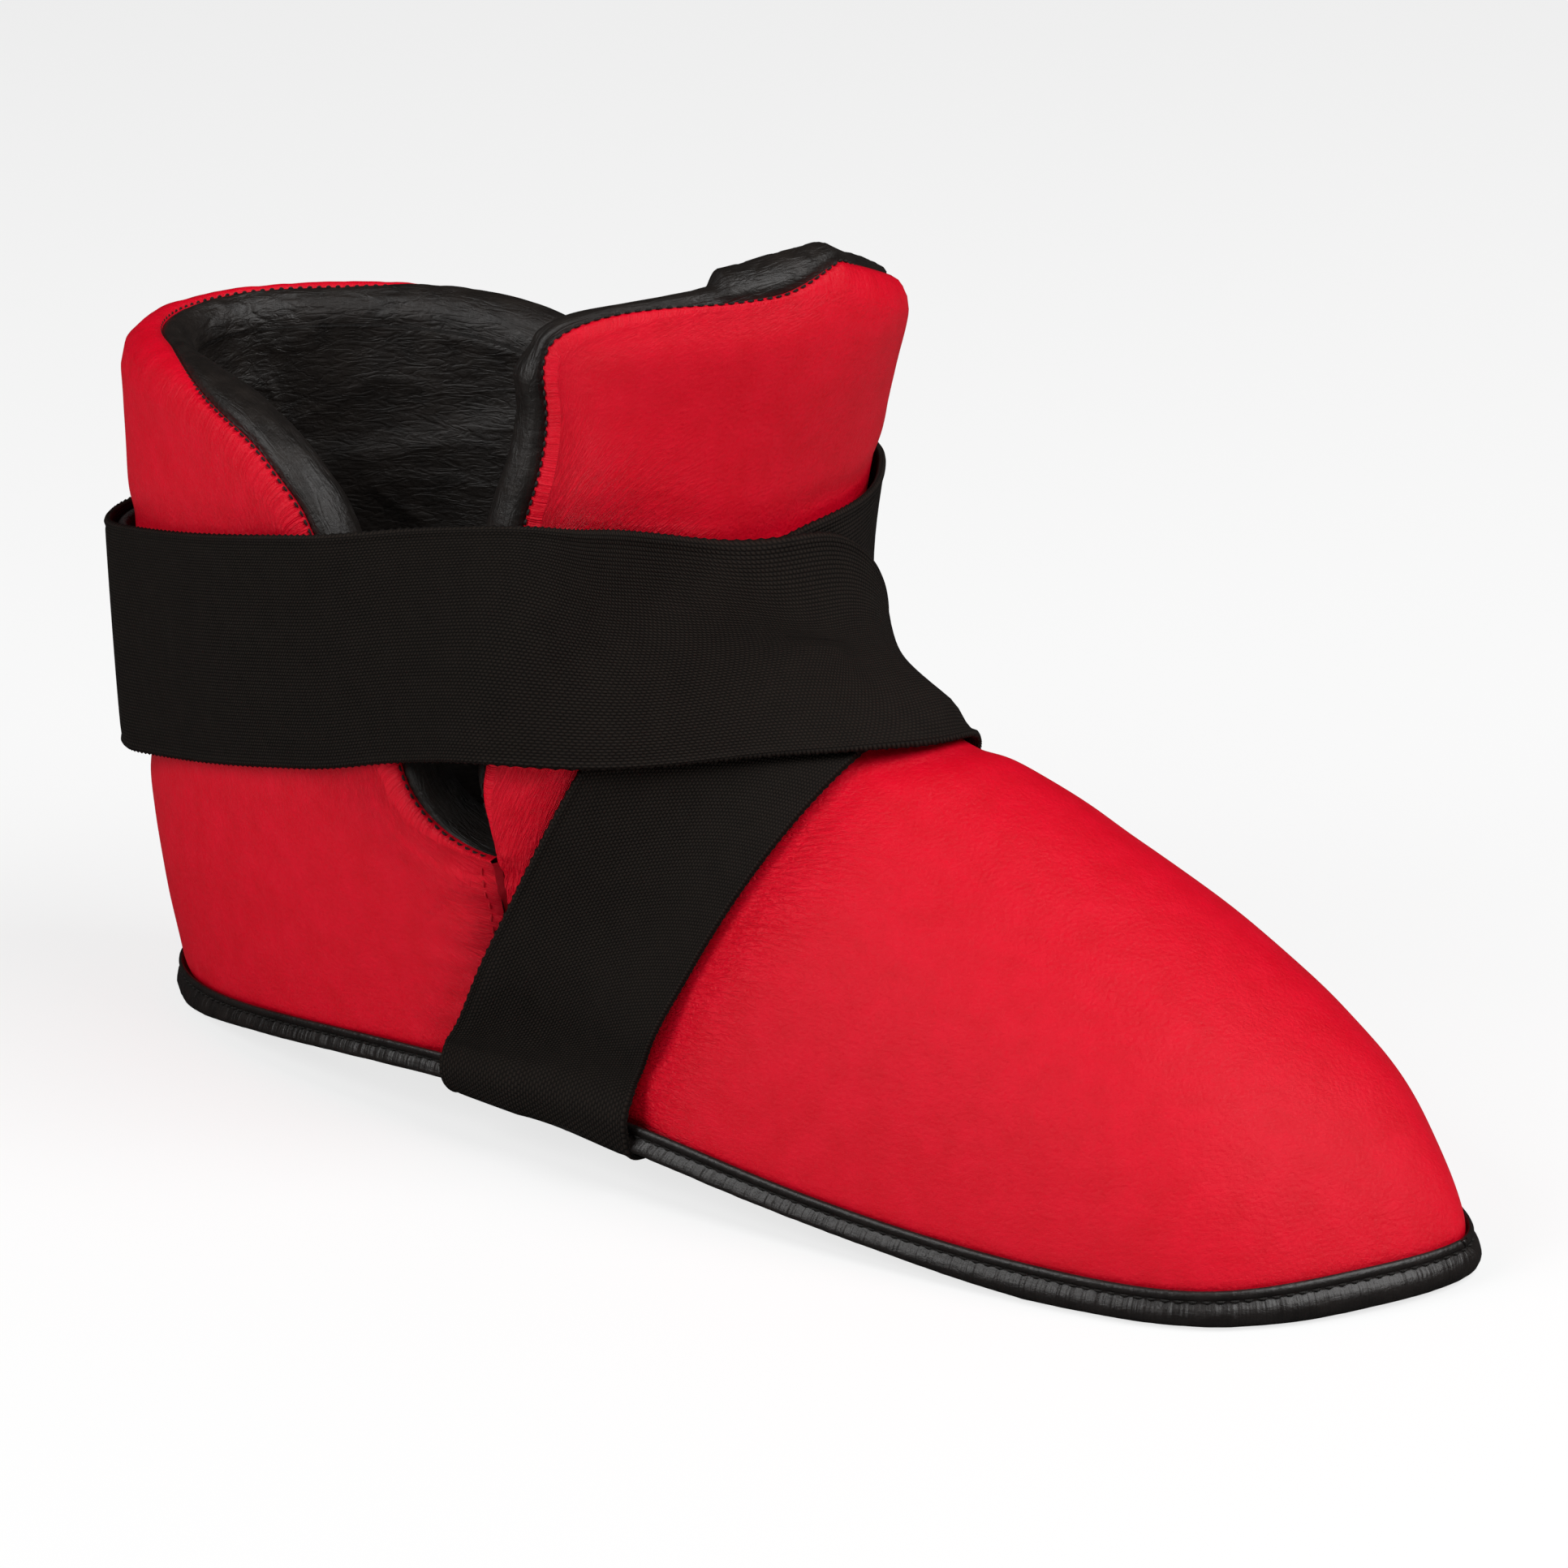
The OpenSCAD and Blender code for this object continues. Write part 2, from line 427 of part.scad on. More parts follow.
// Elastic under the toes, sewn to the lining at both ends
module toe_band() {
    half = toe_band_width/2/28;
    ss = [for (k = [1, 0, -1]) 2.75 + k*half];
    d = to_inner + 0.9;
    function course(e) = concat(
        [for (a = [17, 11, 6]) [for (s = ss) front(s, a) - (d + e)*front_out(s, a)]],
        [for (k = [0.12, 0.5, 0.88]) [for (s = ss)
            let (a = front(s, 3) - d*front_out(s, 3), b = front(s, 177) - d*front_out(s, 177))
            [mix(a[0], b[0], k), mix(a[1], b[1], k), lift + 2.2 + e]]],
        [for (a = [174, 169, 163]) [for (s = ss) front(s, a) - (d + e)*front_out(s, a)]]);
    color("#161515") slab(course(1.2), course(0));
}

// Stitches: short bars of thread lying on a surface
module bar(p, q, n) {
    x = unit(q - p);
    y = unit(cross(n, x));
    tube([for (e = [p - 0.2*x, q + 0.2*x]) [for (c = [[-1, 0], [1, 0], [0.6, 1], [-0.6, 1]])
        e + thread/2*c[0]*y + thread*0.8*c[1]*n]]);
}
module edge_bars(f, g, a, b, count) {
    for (i = [0:count - 1]) {
        u = mix(a, b, (i + 0.2)/count);
        v = mix(a, b, (i + 0.75)/count);
        h = unit([g(u)[0], g(u)[1], 0]);
        bar(f(u) + 1.9*h, f(v) + 1.9*h, h);
    }
}
function toe_line(s, w) = let (a = 0.7*flange_arc(s)) front(s, w < 0 ? a : 180 - a);
module toe_stitches() color("#2b2827") {
    count = round(190*size/stitch_pitch);
    edge_bars(function (s) toe_line(s, -1), function (s) front_out(s, 0), 5.7, 0.35, count);
    edge_bars(function (s) toe_line(s, 1), function (s) front_out(s, 180), 0.35, 5.7, count);
}
module heel_stitches() color("#2b2827") edge_bars(
    function (t) heel(t, heel_low(t) + 0.7*flange), function (t) heel_out(t, heel_low(t)),
    70, -70, round(230*size/stitch_pitch));
module panel_stitches() color("#2b2827")
    for (k = [0:7]) {
        f = 0.08 + k*0.115;
        n = heel_out(52, 80);
        bar(rear(f, 49) + (low_h + elastic + 0.15)*n, rear(f + 0.07, 49) + (low_h + elastic + 0.15)*n, n);
    }

vamp_cover();
vamp_foam();
vamp_lining();
tongue_cover();
tongue_foam();
tongue_lining();
tongue_roll();
collar_roll_lateral();
collar_roll_medial();
heel_cover();
heel_foam();
heel_lining();
heel_roll_lateral();
heel_roll_medial();
flap_cover();
flap_foam();
flap_lining();
flap_roll();
toe_binding();
heel_binding();
side_seam_lateral();
side_seam_medial();
under_band();
upper_strap();
lower_strap();
loop_panel();
strap_tail();
hook_patch();
toe_band();
toe_stitches();
heel_stitches();
panel_stitches();
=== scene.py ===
import math

import bpy
import numpy as np
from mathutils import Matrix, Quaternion, Vector, noise
from mathutils.bvhtree import BVHTree
from mathutils.kdtree import KDTree


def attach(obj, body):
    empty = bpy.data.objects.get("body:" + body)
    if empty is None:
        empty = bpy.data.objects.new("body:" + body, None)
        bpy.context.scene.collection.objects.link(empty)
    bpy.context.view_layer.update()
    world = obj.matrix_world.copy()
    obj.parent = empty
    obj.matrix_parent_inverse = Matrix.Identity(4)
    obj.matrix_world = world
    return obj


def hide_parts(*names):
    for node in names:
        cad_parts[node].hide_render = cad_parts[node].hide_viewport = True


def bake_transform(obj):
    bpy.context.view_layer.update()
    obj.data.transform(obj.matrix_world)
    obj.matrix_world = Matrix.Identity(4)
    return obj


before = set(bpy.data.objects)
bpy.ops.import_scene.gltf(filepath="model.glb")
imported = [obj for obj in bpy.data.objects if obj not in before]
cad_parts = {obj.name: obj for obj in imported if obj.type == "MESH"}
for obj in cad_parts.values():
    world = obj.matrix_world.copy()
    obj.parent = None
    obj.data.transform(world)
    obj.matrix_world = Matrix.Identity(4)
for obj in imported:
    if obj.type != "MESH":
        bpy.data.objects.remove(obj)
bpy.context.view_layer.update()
scene = bpy.context.scene
scene.view_settings.view_transform = "Standard"
mm = 0.001  # metres
print("frame loaded,", len(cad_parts), "nodes")

# camera, at the photograph's place and turned so that the whole boot is in view
view = {"place": (0.7015, -0.87, 0.4471), "aim": (0.0062, 0.0016, 0.0668), "roll": -1.28, "lens": 143}


def addCamera():
    lens = bpy.data.cameras.new("bootCamera")
    lens.lens, lens.sensor_width, lens.clip_start = view["lens"], 36, 0.05
    cam = bpy.data.objects.new("bootCamera", lens)
    scene.collection.objects.link(cam)
    cam.location = view["place"]
    look = (Vector(view["aim"]) - Vector(view["place"])).to_track_quat("-Z", "Y")
    cam.rotation_mode = "QUATERNION"
    cam.rotation_quaternion = look @ Quaternion((0, 0, 1), math.radians(view["roll"]))
    scene.camera = cam


addCamera()
print("camera set")

# the padded shape, in millimetres from the ankle's own zero
boot = {
    "middle": (14, 0.6, 0),  # from the ankle's zero to the part's origin
    "lift": 3.2,             # height of the wall's lower edge
    "wall": 14.4,            # outer face to inner face
    # toe to tongue top: edge x and z, ridge x and z, lateral and medial half width,
    # y of the edges' middle and of the ridge, squareness and crown
    "rows": [
        [140, 1, 140, 1, 0, 0, 7, 7, 2, 1],
        [132, 1, 128, 22, 21, 15, 4, 7, 2.1, 1],
        [116, 0, 112, 36, 38, 28, 2, 6, 2.2, 0.9],
        [92, 0, 90, 49, 44, 37, 0, 6, 2.3, 0.9],
        [60, 1, 63, 62, 47, 40, 0, 6, 2.3, 0.9],
        [22, 4, 38, 73, 48, 39.6, 0, 6, 2.2, 0.9],
        [-12, 7, 26, 78, 47, 38.6, 0, 5, 2.1, 0.95],
        [-33, 10, 15, 83, 45, 38, 0, 5, 2.1, 0.95],
        [-36, 33, 5, 88, 47, 42, 0, 4, 2, 1],
        [-36, 58, -3, 96, 51, 46, 0, 3, 2, 1],
        [-30, 96, -7, 114, 52, 50, 0, 3, 2, 1.25],
        [-23, 134, -1, 134, 47.5, 49, 3, 5, 2, 1.35],
        [-22.5, 149, 6, 149, 47.5, 46, 4, 6, 2, 1.35],
        [-21, 157, 8, 157, 45.5, 43, 4, 6, 2, 1.35],
        [-15, 162, 8, 162, 38, 37, 4, 6, 2, 1.35]],
    # heel by height: back line, lateral and medial half width, front limit
    "heel": [
        [-156, 43, 35.6, -32], [-162, 48, 42, -36], [-162, 54, 50, -34],
        [-161, 58, 55, -27], [-160, 58, 55, -20]],
    "heelStep": 40, "heelBelow": 6,  # height between those rows, and how far the first is below the wall
    "heelGap": 1.5,                  # between the heel's front limit and its front edge
    "heelSquare": 2.2,
    "heelTops": [131, 131, 131, 131, 131, 130, 126, 108, 68, 57],  # every 10 degrees from the back
    "arch": 10,  # rise of the heel's lower edge to the arch
}
lift, wall = boot["lift"], boot["wall"]


def clamp(v):
    return np.clip(v, 0, 1)


def ease(v):
    v = clamp(v)
    return v * v * (3 - 2 * v)


def bell(v, reach):
    return np.exp(-(v / reach) ** 2)


def unit(v):
    return v / np.maximum(np.linalg.norm(v, axis=-1, keepdims=True), 1e-9)


def signedPower(v, e):
    return np.sign(v) * np.abs(v) ** e


def mix(a, b, f):
    return a + (b - a) * f


def runAlong(lines, axis=0):  # length from the start of a line to each of its points
    step = np.linalg.norm(np.diff(lines, axis=axis), axis=-1)
    return np.concatenate([0 * step.take([0], axis), np.cumsum(step, axis)], axis)


def pickAt(places, run, line):  # points of a line at given lengths along it
    return np.stack([np.interp(places, run, line[:, c]) for c in range(3)], -1)


def evened(net, spacing, reach, count):  # smoothed along the first axis
    soft = bell(np.arange(-count, count + 1) * spacing, reach)
    wide = np.pad(net, [(count, count)] + [(0, 0)] * (net.ndim - 1), mode="edge")
    return sum(w * wide[i:i + len(net)] for i, w in enumerate(soft / soft.sum()))


def splineThrough(values):  # natural cubic through evenly spaced values
    v = np.array(values, float)
    n = len(v)
    c, d, m = np.zeros(n), np.zeros_like(v), np.zeros_like(v)
    for i in range(1, n - 1):
        c[i] = 1 / (4 - c[i - 1])
        d[i] = (6 * (v[i + 1] - 2 * v[i] + v[i - 1]) - d[i - 1]) * c[i]
    for i in range(n - 2, 0, -1):
        m[i] = d[i] - c[i] * m[i + 1]

    def at(t):
        t = np.asarray(t, float)
        i = np.clip(np.floor(t).astype(int), 0, n - 2)
        f = t - i
        if v.ndim > 1:
            f = f[..., None]
        g = 1 - f
        return g * v[i] + f * v[i + 1] + ((g ** 3 - g) * m[i] + (f ** 3 - f) * m[i + 1]) / 6

    return at


toe = boot["rows"][1]
beforeToe = [toe[0], toe[1], toe[2], 2 * toe[1] - toe[3], -toe[4], -toe[5]] + toe[6:]  # keeps the nose round
rowSpline = splineThrough([beforeToe] + boot["rows"])
heelSpline = splineThrough(boot["heel"])
topSpline = splineThrough(boot["heelTops"])
topRow = len(boot["rows"]) - 1


def station(s):
    return np.moveaxis(rowSpline(np.asarray(s, float) + 1), -1, 0)


def frontPoint(s, a):  # row s, and degrees a from the lateral edge over the ridge to the medial edge
    s, a = np.broadcast_arrays(np.asarray(s, float), np.radians(np.asarray(a, float)))
    q = station(s)
    c, h = -np.cos(a), np.maximum(np.sin(a), 0) ** q[9]
    w = np.where(c < 0, q[4], q[5]) * signedPower(c, 2 / q[8])
    x, y, z = q[0] + (q[2] - q[0]) * h, q[6] + w + (q[7] - q[6]) * h, q[1] + (q[3] - q[1]) * h
    return np.stack([x, y, lift + z], -1)


def frontNormal(s, a):
    s, a = np.broadcast_arrays(np.asarray(s, float), np.asarray(a, float))
    rim = np.minimum(a, 180 - a)
    sides, low = clamp(1 - rim / 30), clamp(1 - rim / 25)
    keep = 26 * clamp(s - 9) + 8 * clamp(s - 11.5)  # the wall's end leans like the wall a little further in
    b = np.clip(a, keep, 180 - keep)
    across = frontPoint(s, np.minimum(b + 1, 180)) - frontPoint(s, np.maximum(b - 1, 0))
    along = frontPoint(np.minimum(s + 0.05, topRow), b) - frontPoint(np.maximum(s - 0.05, 0.03), b)
    n = unit(np.cross(across, along))
    n[..., 0] *= 1 - sides * clamp((s - 5) / 2) * clamp(10.5 - s)  # square to the side at the side seam
    n[..., 2] *= 1 - np.maximum(low, clamp(1 - s / 0.7)) * clamp(7.5 - s)  # level at the lower edge
    return unit(n)


def heelLine(z):
    height = np.asarray(z, float) - lift + boot["heelBelow"]
    return np.moveaxis(heelSpline(height / boot["heelStep"]), -1, 0)


def heelTop(t):
    return lift + topSpline(np.abs(np.asarray(t, float)) / 10)


def heelLow(t):
    return lift + boot["arch"] * np.sin(np.radians(t)) ** 4


def heelPoint(t, z):  # degrees t from the back, minus to the lateral side, and height z
    t, z = np.broadcast_arrays(np.radians(np.asarray(t, float)), np.asarray(z, float))
    q = heelLine(z)
    w = np.where(t < 0, q[1], q[2])
    front = q[3] - boot["heelGap"]
    x = front + (q[0] - front) * np.maximum(np.cos(t), 0) ** (2 / boot["heelSquare"])
    return np.stack([x, w * signedPower(np.sin(t), 2 / boot["heelSquare"]), z], -1)


def heelNormal(t, z):
    t, z = np.asarray(t, float), np.asarray(z, float)
    up = heelPoint(t, z + 1) - heelPoint(t, z - 1)
    return unit(np.cross(up, heelPoint(np.minimum(t + 1, 90), z) - heelPoint(np.maximum(t - 1, -90), z)))


# side view to surface, for the straps
def onFront(x, z, w):
    lo, hi = np.full(np.shape(x), 3.0), np.full(np.shape(x), 11.2)  # rows that the straps lie between
    for _ in range(24):
        m = (lo + hi) / 2
        q = station(m)
        past = (x - q[0]) * (q[3] - q[1]) - (z - lift - q[1]) * (q[2] - q[0]) > 0
        lo, hi = np.where(past, lo, m), np.where(past, m, hi)
    q = station((lo + hi) / 2)
    dx, dz = q[2] - q[0], q[3] - q[1]
    tall = np.abs(dz) > np.abs(dx)
    h = clamp(np.where(tall, (z - lift - q[1]) / np.where(tall, dz, 1), (x - q[0]) / np.where(tall, 1, dx)))
    c = np.sqrt(np.maximum(1 - h ** (2 / q[9]), 0)) ** (2 / q[8])
    return np.stack([x, q[6] + (-q[4] if w < 0 else q[5]) * c + (q[7] - q[6]) * h, z], -1)


def onHeel(x, z, w):
    q = heelLine(z)
    front = q[3] - boot["heelGap"]
    c = clamp((x - front) / (q[0] - front)) ** (boot["heelSquare"] / 2)
    wide = np.sqrt(np.maximum(1 - c * c, 0)) ** (2 / boot["heelSquare"])
    return np.stack([x, w * (q[1] if w < 0 else q[2]) * wide, z], -1)


def flank(x, z, w):
    behind = (x < heelLine(z)[3] - 1) & (z < lift + 62)
    return np.where(behind[..., None], onHeel(x, z, w), onFront(x, z, w))


def waves(points, size, seed=0.0):  # soft noise over points in millimetres
    p = np.asarray(points, float).reshape(-1, 3) / size + seed
    return np.array([noise.noise(Vector(v)) for v in p]).reshape(np.shape(points)[:-1])


def noisePlaces(run, other=0, layer=0):  # places for noise that runs along a seam
    return np.stack([run, other + 0 * run, layer + 0 * run], -1)


def newMesh(name, points, faces, material, maps=None, values=None):
    mesh = bpy.data.meshes.new(name)
    p = (np.asarray(points, float).reshape(-1, 3) + boot["middle"]) * mm
    mesh.from_pydata(p.tolist(), [], faces.tolist() if isinstance(faces, np.ndarray) else faces)
    mesh.update()
    mesh.shade_smooth()
    corner = np.empty(len(mesh.loops), int)
    mesh.loops.foreach_get("vertex_index", corner)
    for key, uv in (maps or {}).items():
        layer = mesh.uv_layers.new(name=key)
        layer.data.foreach_set("uv", np.asarray(uv, np.float32).reshape(-1, 2)[corner].ravel())
    for key, v in (values or {}).items():
        layer = mesh.attributes.new(key, "FLOAT", "POINT")
        layer.data.foreach_set("value", np.asarray(v, np.float32).ravel())
    mesh.materials.append(material)
    obj = bpy.data.objects.new(name, mesh)
    scene.collection.objects.link(obj)
    return obj


def indexOf(grid):
    return np.arange(grid.shape[0] * grid.shape[1]).reshape(grid.shape[:2])


def gridFaces(index):
    return np.stack([index[:-1, :-1], index[1:, :-1], index[1:, 1:], index[:-1, 1:]], -1).reshape(-1, 4)


def tubeFaces(index):  # the last column joined to the first
    return gridFaces(np.concatenate([index, index[:, :1]], 1))


# materials
def nodeAdder(tree):
    def add(kind, links=None, **settings):
        node = tree.nodes.new(kind)
        for key, v in settings.items():
            setattr(node, key, v)
        for key, v in (links or {}).items():
            socket = node.inputs[key]
            if isinstance(v, bpy.types.NodeSocket):
                tree.links.new(v, socket)
            else:
                socket.default_value = v
        return node

    return add


def nodeTree(name):
    mat = bpy.data.materials.new(name)
    mat.use_nodes = True
    tree = mat.node_tree
    shader = tree.nodes["Principled BSDF"]

    def join(source, target):
        tree.links.new(source, shader.inputs[target])

    return mat, shader, nodeAdder(tree), join


def scaled(add, scale):
    place = add("ShaderNodeTexCoord").outputs["Object"]
    size = scale if isinstance(scale, tuple) else (scale,) * 3
    return add("ShaderNodeMapping", {"Vector": place, "Scale": size}).outputs["Vector"]


def clouds(add, scale, detail, **more):
    return add("ShaderNodeTexNoise", {"Vector": scaled(add, scale), "Detail": detail, **more}).outputs["Fac"]


def ramp(add, source, stops):
    node = add("ShaderNodeValToRGB", {"Fac": source})
    while len(node.color_ramp.elements) < len(stops):
        node.color_ramp.elements.new(0.5)
    for e, (place, colour) in zip(node.color_ramp.elements, stops):
        e.position, e.color = place, (*colour, 1)
    return node.outputs["Color"]


def maths(add, kind, a, b=0.0, c=0.0, clamped=False):
    return add("ShaderNodeMath", {0: a, 1: b, 2: c}, operation=kind, use_clamp=clamped).outputs[0]


def rangeOf(add, source, low, high):
    return add("ShaderNodeMapRange", {"Value": source, "To Min": low, "To Max": high}).outputs[0]


def bumped(add, height, strength, depth):
    bump = add("ShaderNodeBump", {"Height": height, "Strength": strength, "Distance": depth})
    return bump.outputs["Normal"]


# colours, roughness range, heights in millimetres of the grain, the soft folds and the fine creases
leathers = {
    "red": {
        "dark": (0.63, 0.0002, 0.012), "light": (0.73, 0.0006, 0.019), "rough": (0.32, 0.44),
        "specular": 0.2, "grain": 0.17, "folds": 0.08, "creases": 0.2},
    "lining": {
        "dark": (0.006, 0.0044, 0.0036), "light": (0.017, 0.0124, 0.01), "rough": (0.38, 0.54),
        "specular": 0.45, "grain": 0.08, "folds": 0.14, "creases": 0.12},
    "binding": {
        "dark": (0.006, 0.0044, 0.0038), "light": (0.015, 0.0112, 0.0098), "rough": (0.34, 0.48),
        "specular": 0.5, "grain": 0.05, "folds": 0.14, "creases": 0.0},
}
gatherHeight = 0.6  # millimetres, beside the seams


def leather(name, look):
    mat, shader, add, join = nodeTree(name)
    patch = clouds(add, 38, 4.0, Roughness=0.55)
    fine = clouds(add, (700, 700, 900), 3.0, Roughness=0.6, Distortion=0.8)
    folds = clouds(add, (60, 60, 150), 5.0, Roughness=0.6, Distortion=1.2)
    pores = add("ShaderNodeTexVoronoi", {"Vector": scaled(add, 1200), "Scale": 1.0, "Randomness": 0.9},
                feature="SMOOTH_F1").outputs["Distance"]
    creaseMap = add("ShaderNodeUVMap", uv_map="creaseMap").outputs["UV"]
    wander = add("ShaderNodeTexNoise", {"Vector": creaseMap, "Scale": 1.0, "Detail": 2.5, "Roughness": 0.55,
                                        "Distortion": 0.7}).outputs["Fac"]
    groove = maths(add, "ABSOLUTE", maths(add, "SUBTRACT", wander, 0.5))
    groove = maths(add, "MULTIPLY", groove, 9.0, clamped=True)
    crinkle, pucker, run = (add("ShaderNodeAttribute", attribute_name=v).outputs["Fac"]
                            for v in ("crinkle", "pucker", "seamRun"))
    gather = add("ShaderNodeTexNoise", {"W": run, "Scale": 0.55, "Detail": 2.0},
                 noise_dimensions="1D").outputs["Fac"]
    tone = maths(add, "MULTIPLY_ADD", fine, 0.2, maths(add, "MULTIPLY", patch, 0.75))
    join(ramp(add, tone, [(0.3, look["dark"]), (0.72, look["light"])]), "Base Color")
    shine = maths(add, "MULTIPLY_ADD", pores, 0.4, maths(add, "MULTIPLY", patch, 0.6))
    join(rangeOf(add, shine, *look["rough"]), "Roughness")
    height = maths(add, "MULTIPLY", fine, look["grain"])
    for relief, deep in ((pores, look["grain"]), (folds, look["folds"]),
                         (maths(add, "MULTIPLY", groove, crinkle), look["creases"]),
                         (maths(add, "MULTIPLY", gather, pucker), gatherHeight)):
        height = maths(add, "MULTIPLY_ADD", relief, deep, height)
    join(bumped(add, height, 0.85, mm), "Normal")
    shader.inputs["Specular IOR Level"].default_value = look["specular"]
    return mat


redLeather = leather("redLeather", leathers["red"])
blackLining = leather("blackLining", leathers["lining"])
bindingLeather = leather("bindingLeather", leathers["binding"])

weave = {
    "pitch": 0.0013, "stretch": 1.25,  # metres across, and how much longer each pick is
    # dark is painted shade for the grooves between the knots, light is the knots' tops
    "dark": (0.0024, 0.0017, 0.0013), "light": (0.019, 0.0138, 0.0106),
    "rough": (0.7, 0.92), "specular": 0.14,
}


def wovenElastic(name):
    mat, shader, add, join = nodeTree(name)
    uv = add("ShaderNodeSeparateXYZ", {"Vector": add("ShaderNodeUVMap", uv_map="UVMap").outputs["UV"]})
    along, across = uv.outputs["X"], uv.outputs["Y"]
    pitch = weave["pitch"]
    rib = maths(add, "SINE", maths(add, "MULTIPLY", across, 2 * math.pi / pitch))
    turn = maths(add, "MULTIPLY", maths(add, "FLOOR", maths(add, "DIVIDE", across, pitch / 2)), math.pi / 2)
    often = 2 * math.pi / (pitch * weave["stretch"])
    pick = maths(add, "SINE", maths(add, "MULTIPLY_ADD", along, often, turn))
    knots = maths(add, "MULTIPLY", maths(add, "ABSOLUTE", rib), maths(add, "ABSOLUTE", pick))
    fuzz = clouds(add, 900, 3.0)
    patch = clouds(add, 45, 3.0)
    tone = maths(add, "MULTIPLY_ADD", fuzz, 0.2, maths(add, "MULTIPLY", patch, 0.2))
    # the knots are painted lighter and the grooves between them darker: painted shade that follows the
    # weave's relief
    tone = maths(add, "MULTIPLY_ADD", knots, 0.62, tone)
    join(ramp(add, tone, [(0.12, weave["dark"]), (0.85, weave["light"])]), "Base Color")
    join(rangeOf(add, fuzz, *weave["rough"]), "Roughness")
    join(bumped(add, maths(add, "MULTIPLY_ADD", fuzz, 0.25, knots), 0.75, 0.4 * mm), "Normal")
    shader.inputs["Specular IOR Level"].default_value = weave["specular"]
    return mat


elasticWeave = wovenElastic("elasticWeave")

# size of a tuft in millimetres, colours and sheen
piles = {
    "loop": {"tuft": 0.7, "dark": (0.0015, 0.0015, 0.0015), "light": (0.007, 0.0065, 0.006), "sheen": 0.06},
    "hook": {"tuft": 1.1, "dark": (0.002, 0.002, 0.002), "light": (0.016, 0.016, 0.016), "sheen": 0.0},
}


def pile(name, look):
    mat, shader, add, join = nodeTree(name)
    place = scaled(add, 1000 / look["tuft"])
    tufts = add("ShaderNodeTexVoronoi", {"Vector": place, "Scale": 1.0}).outputs["Distance"]
    swirl = clouds(add, 160, 4.0, Distortion=1.5)
    tone = maths(add, "MULTIPLY_ADD", tufts, 0.5, maths(add, "MULTIPLY", swirl, 0.6))
    join(ramp(add, tone, [(0.2, look["dark"]), (0.8, look["light"])]), "Base Color")
    join(rangeOf(add, swirl, 0.8, 0.98), "Roughness")
    join(bumped(add, maths(add, "ADD", tufts, swirl), 0.8, 0.6 * mm), "Normal")
    shader.inputs["Specular IOR Level"].default_value = 0.12
    shader.inputs["Sheen Weight"].default_value = look["sheen"]
    shader.inputs["Sheen Roughness"].default_value = 0.5
    return mat


loopPile = pile("loopPile", piles["loop"])
hookTape = pile("hookTape", piles["hook"])


def threadFinish(name, dark, light):
    mat, shader, add, join = nodeTree(name)
    place = scaled(add, 1500)
    twist = add("ShaderNodeTexWave", {"Vector": place, "Scale": 1.0, "Distortion": 2.0}).outputs["Fac"]
    join(ramp(add, twist, [(0.1, dark), (0.9, light)]), "Base Color")
    join(rangeOf(add, twist, 0.5, 0.75), "Roughness")
    join(bumped(add, twist, 0.6, 0.2 * mm), "Normal")
    shader.inputs["Specular IOR Level"].default_value = 0.3
    return mat


blackThread = threadFinish("blackThread", (0.005, 0.0045, 0.004), (0.022, 0.019, 0.017))
redThread = threadFinish("redThread", (0.42, 0.0004, 0.008), (0.68, 0.001, 0.016))
print("materials made")

# straps: nets of fibres, laid over the padded shape before the covers so that they press into them
straps = {
    "width": 48, "thick": 1.5, "spacing": 0.6,
    "edges": (0, 0.35, 0.8, 1.3, 1.8, 2.6),  # fibres of the knitted edge
    # front panel rows where a strap's top and lower edge cross the ridge, and where they leave the ankle
    "upperRidge": (9.97, 5.75), "lowerRidge": (9.97, 6.5),
    "lateralAnkle": (10.67, 9.58), "medialAnkle": (10.5, 9.3),
    "lateralBow": (6, 26, -6), "medialBow": -7,  # top edge at the ankle and at the ridge, lower edge
    # guides of the fall to the sole: x and z of the rear and the front edge
    "fallGuides": (((-12, 13), (92, 64)), ((-32, -1), (49, 36)), ((-53, -6), (15, 15))),
    "rearTop": (97, 128), "rearReach": (-162, -24),  # top edge at the back and at the ankle: height, x
    # heights of a strap, of the upper one over the lower, of its loose end and over the roll at the ankle
    "low": 0.3, "over": 2.5, "tail": 3.6, "ankle": 1.6,
    "underSole": 7.4, "soleTilt": 2.9,
    "edgeTooth": 0.35, "toothPitch": 1.8,
    # metres, where the loose end turns
    "hingeFrom": (-0.1235, -0.0424, 0.0772), "hingeTo": (-0.1325, -0.0424, 0.0772),
}
loopPanel = {"fibres": (0.02, 0.98), "thick": 1.9, "up": 0.2, "nap": 0.12}
hookPatch = {"fibres": (0.08, 0.92), "thick": 0.9, "under": 0.95}
between = np.linspace(4, straps["width"] - 4, 16)
otherEdge = [straps["width"] - v for v in straps["edges"][::-1]]
fibres = np.array([*straps["edges"], *between, *otherEdge]) / straps["width"]


def acrossFibres(pair):
    return mix(*pair, fibres)


def levelRow(u, w, ridge):  # from the ankle edge at u = 0 to the ridge at u = 1
    top = acrossFibres(ridge)
    if u > 0.99:
        return frontPoint(top, 90)
    a, b = station(acrossFibres(straps["lateralAnkle" if w < 0 else "medialAnkle"])), station(top)
    k = 1 - (1 - u) ** 2
    atAnkle, atRidge, below = straps["lateralBow"]
    bow = mix(mix(atAnkle, atRidge, k), below, fibres) if w < 0 else straps["medialBow"]
    rise = bow * k * (1 - k) * ease((1 - u) / 0.4)
    return flank(mix(a[0], b[2], k), lift + mix(a[1], b[3], k) + rise, w)


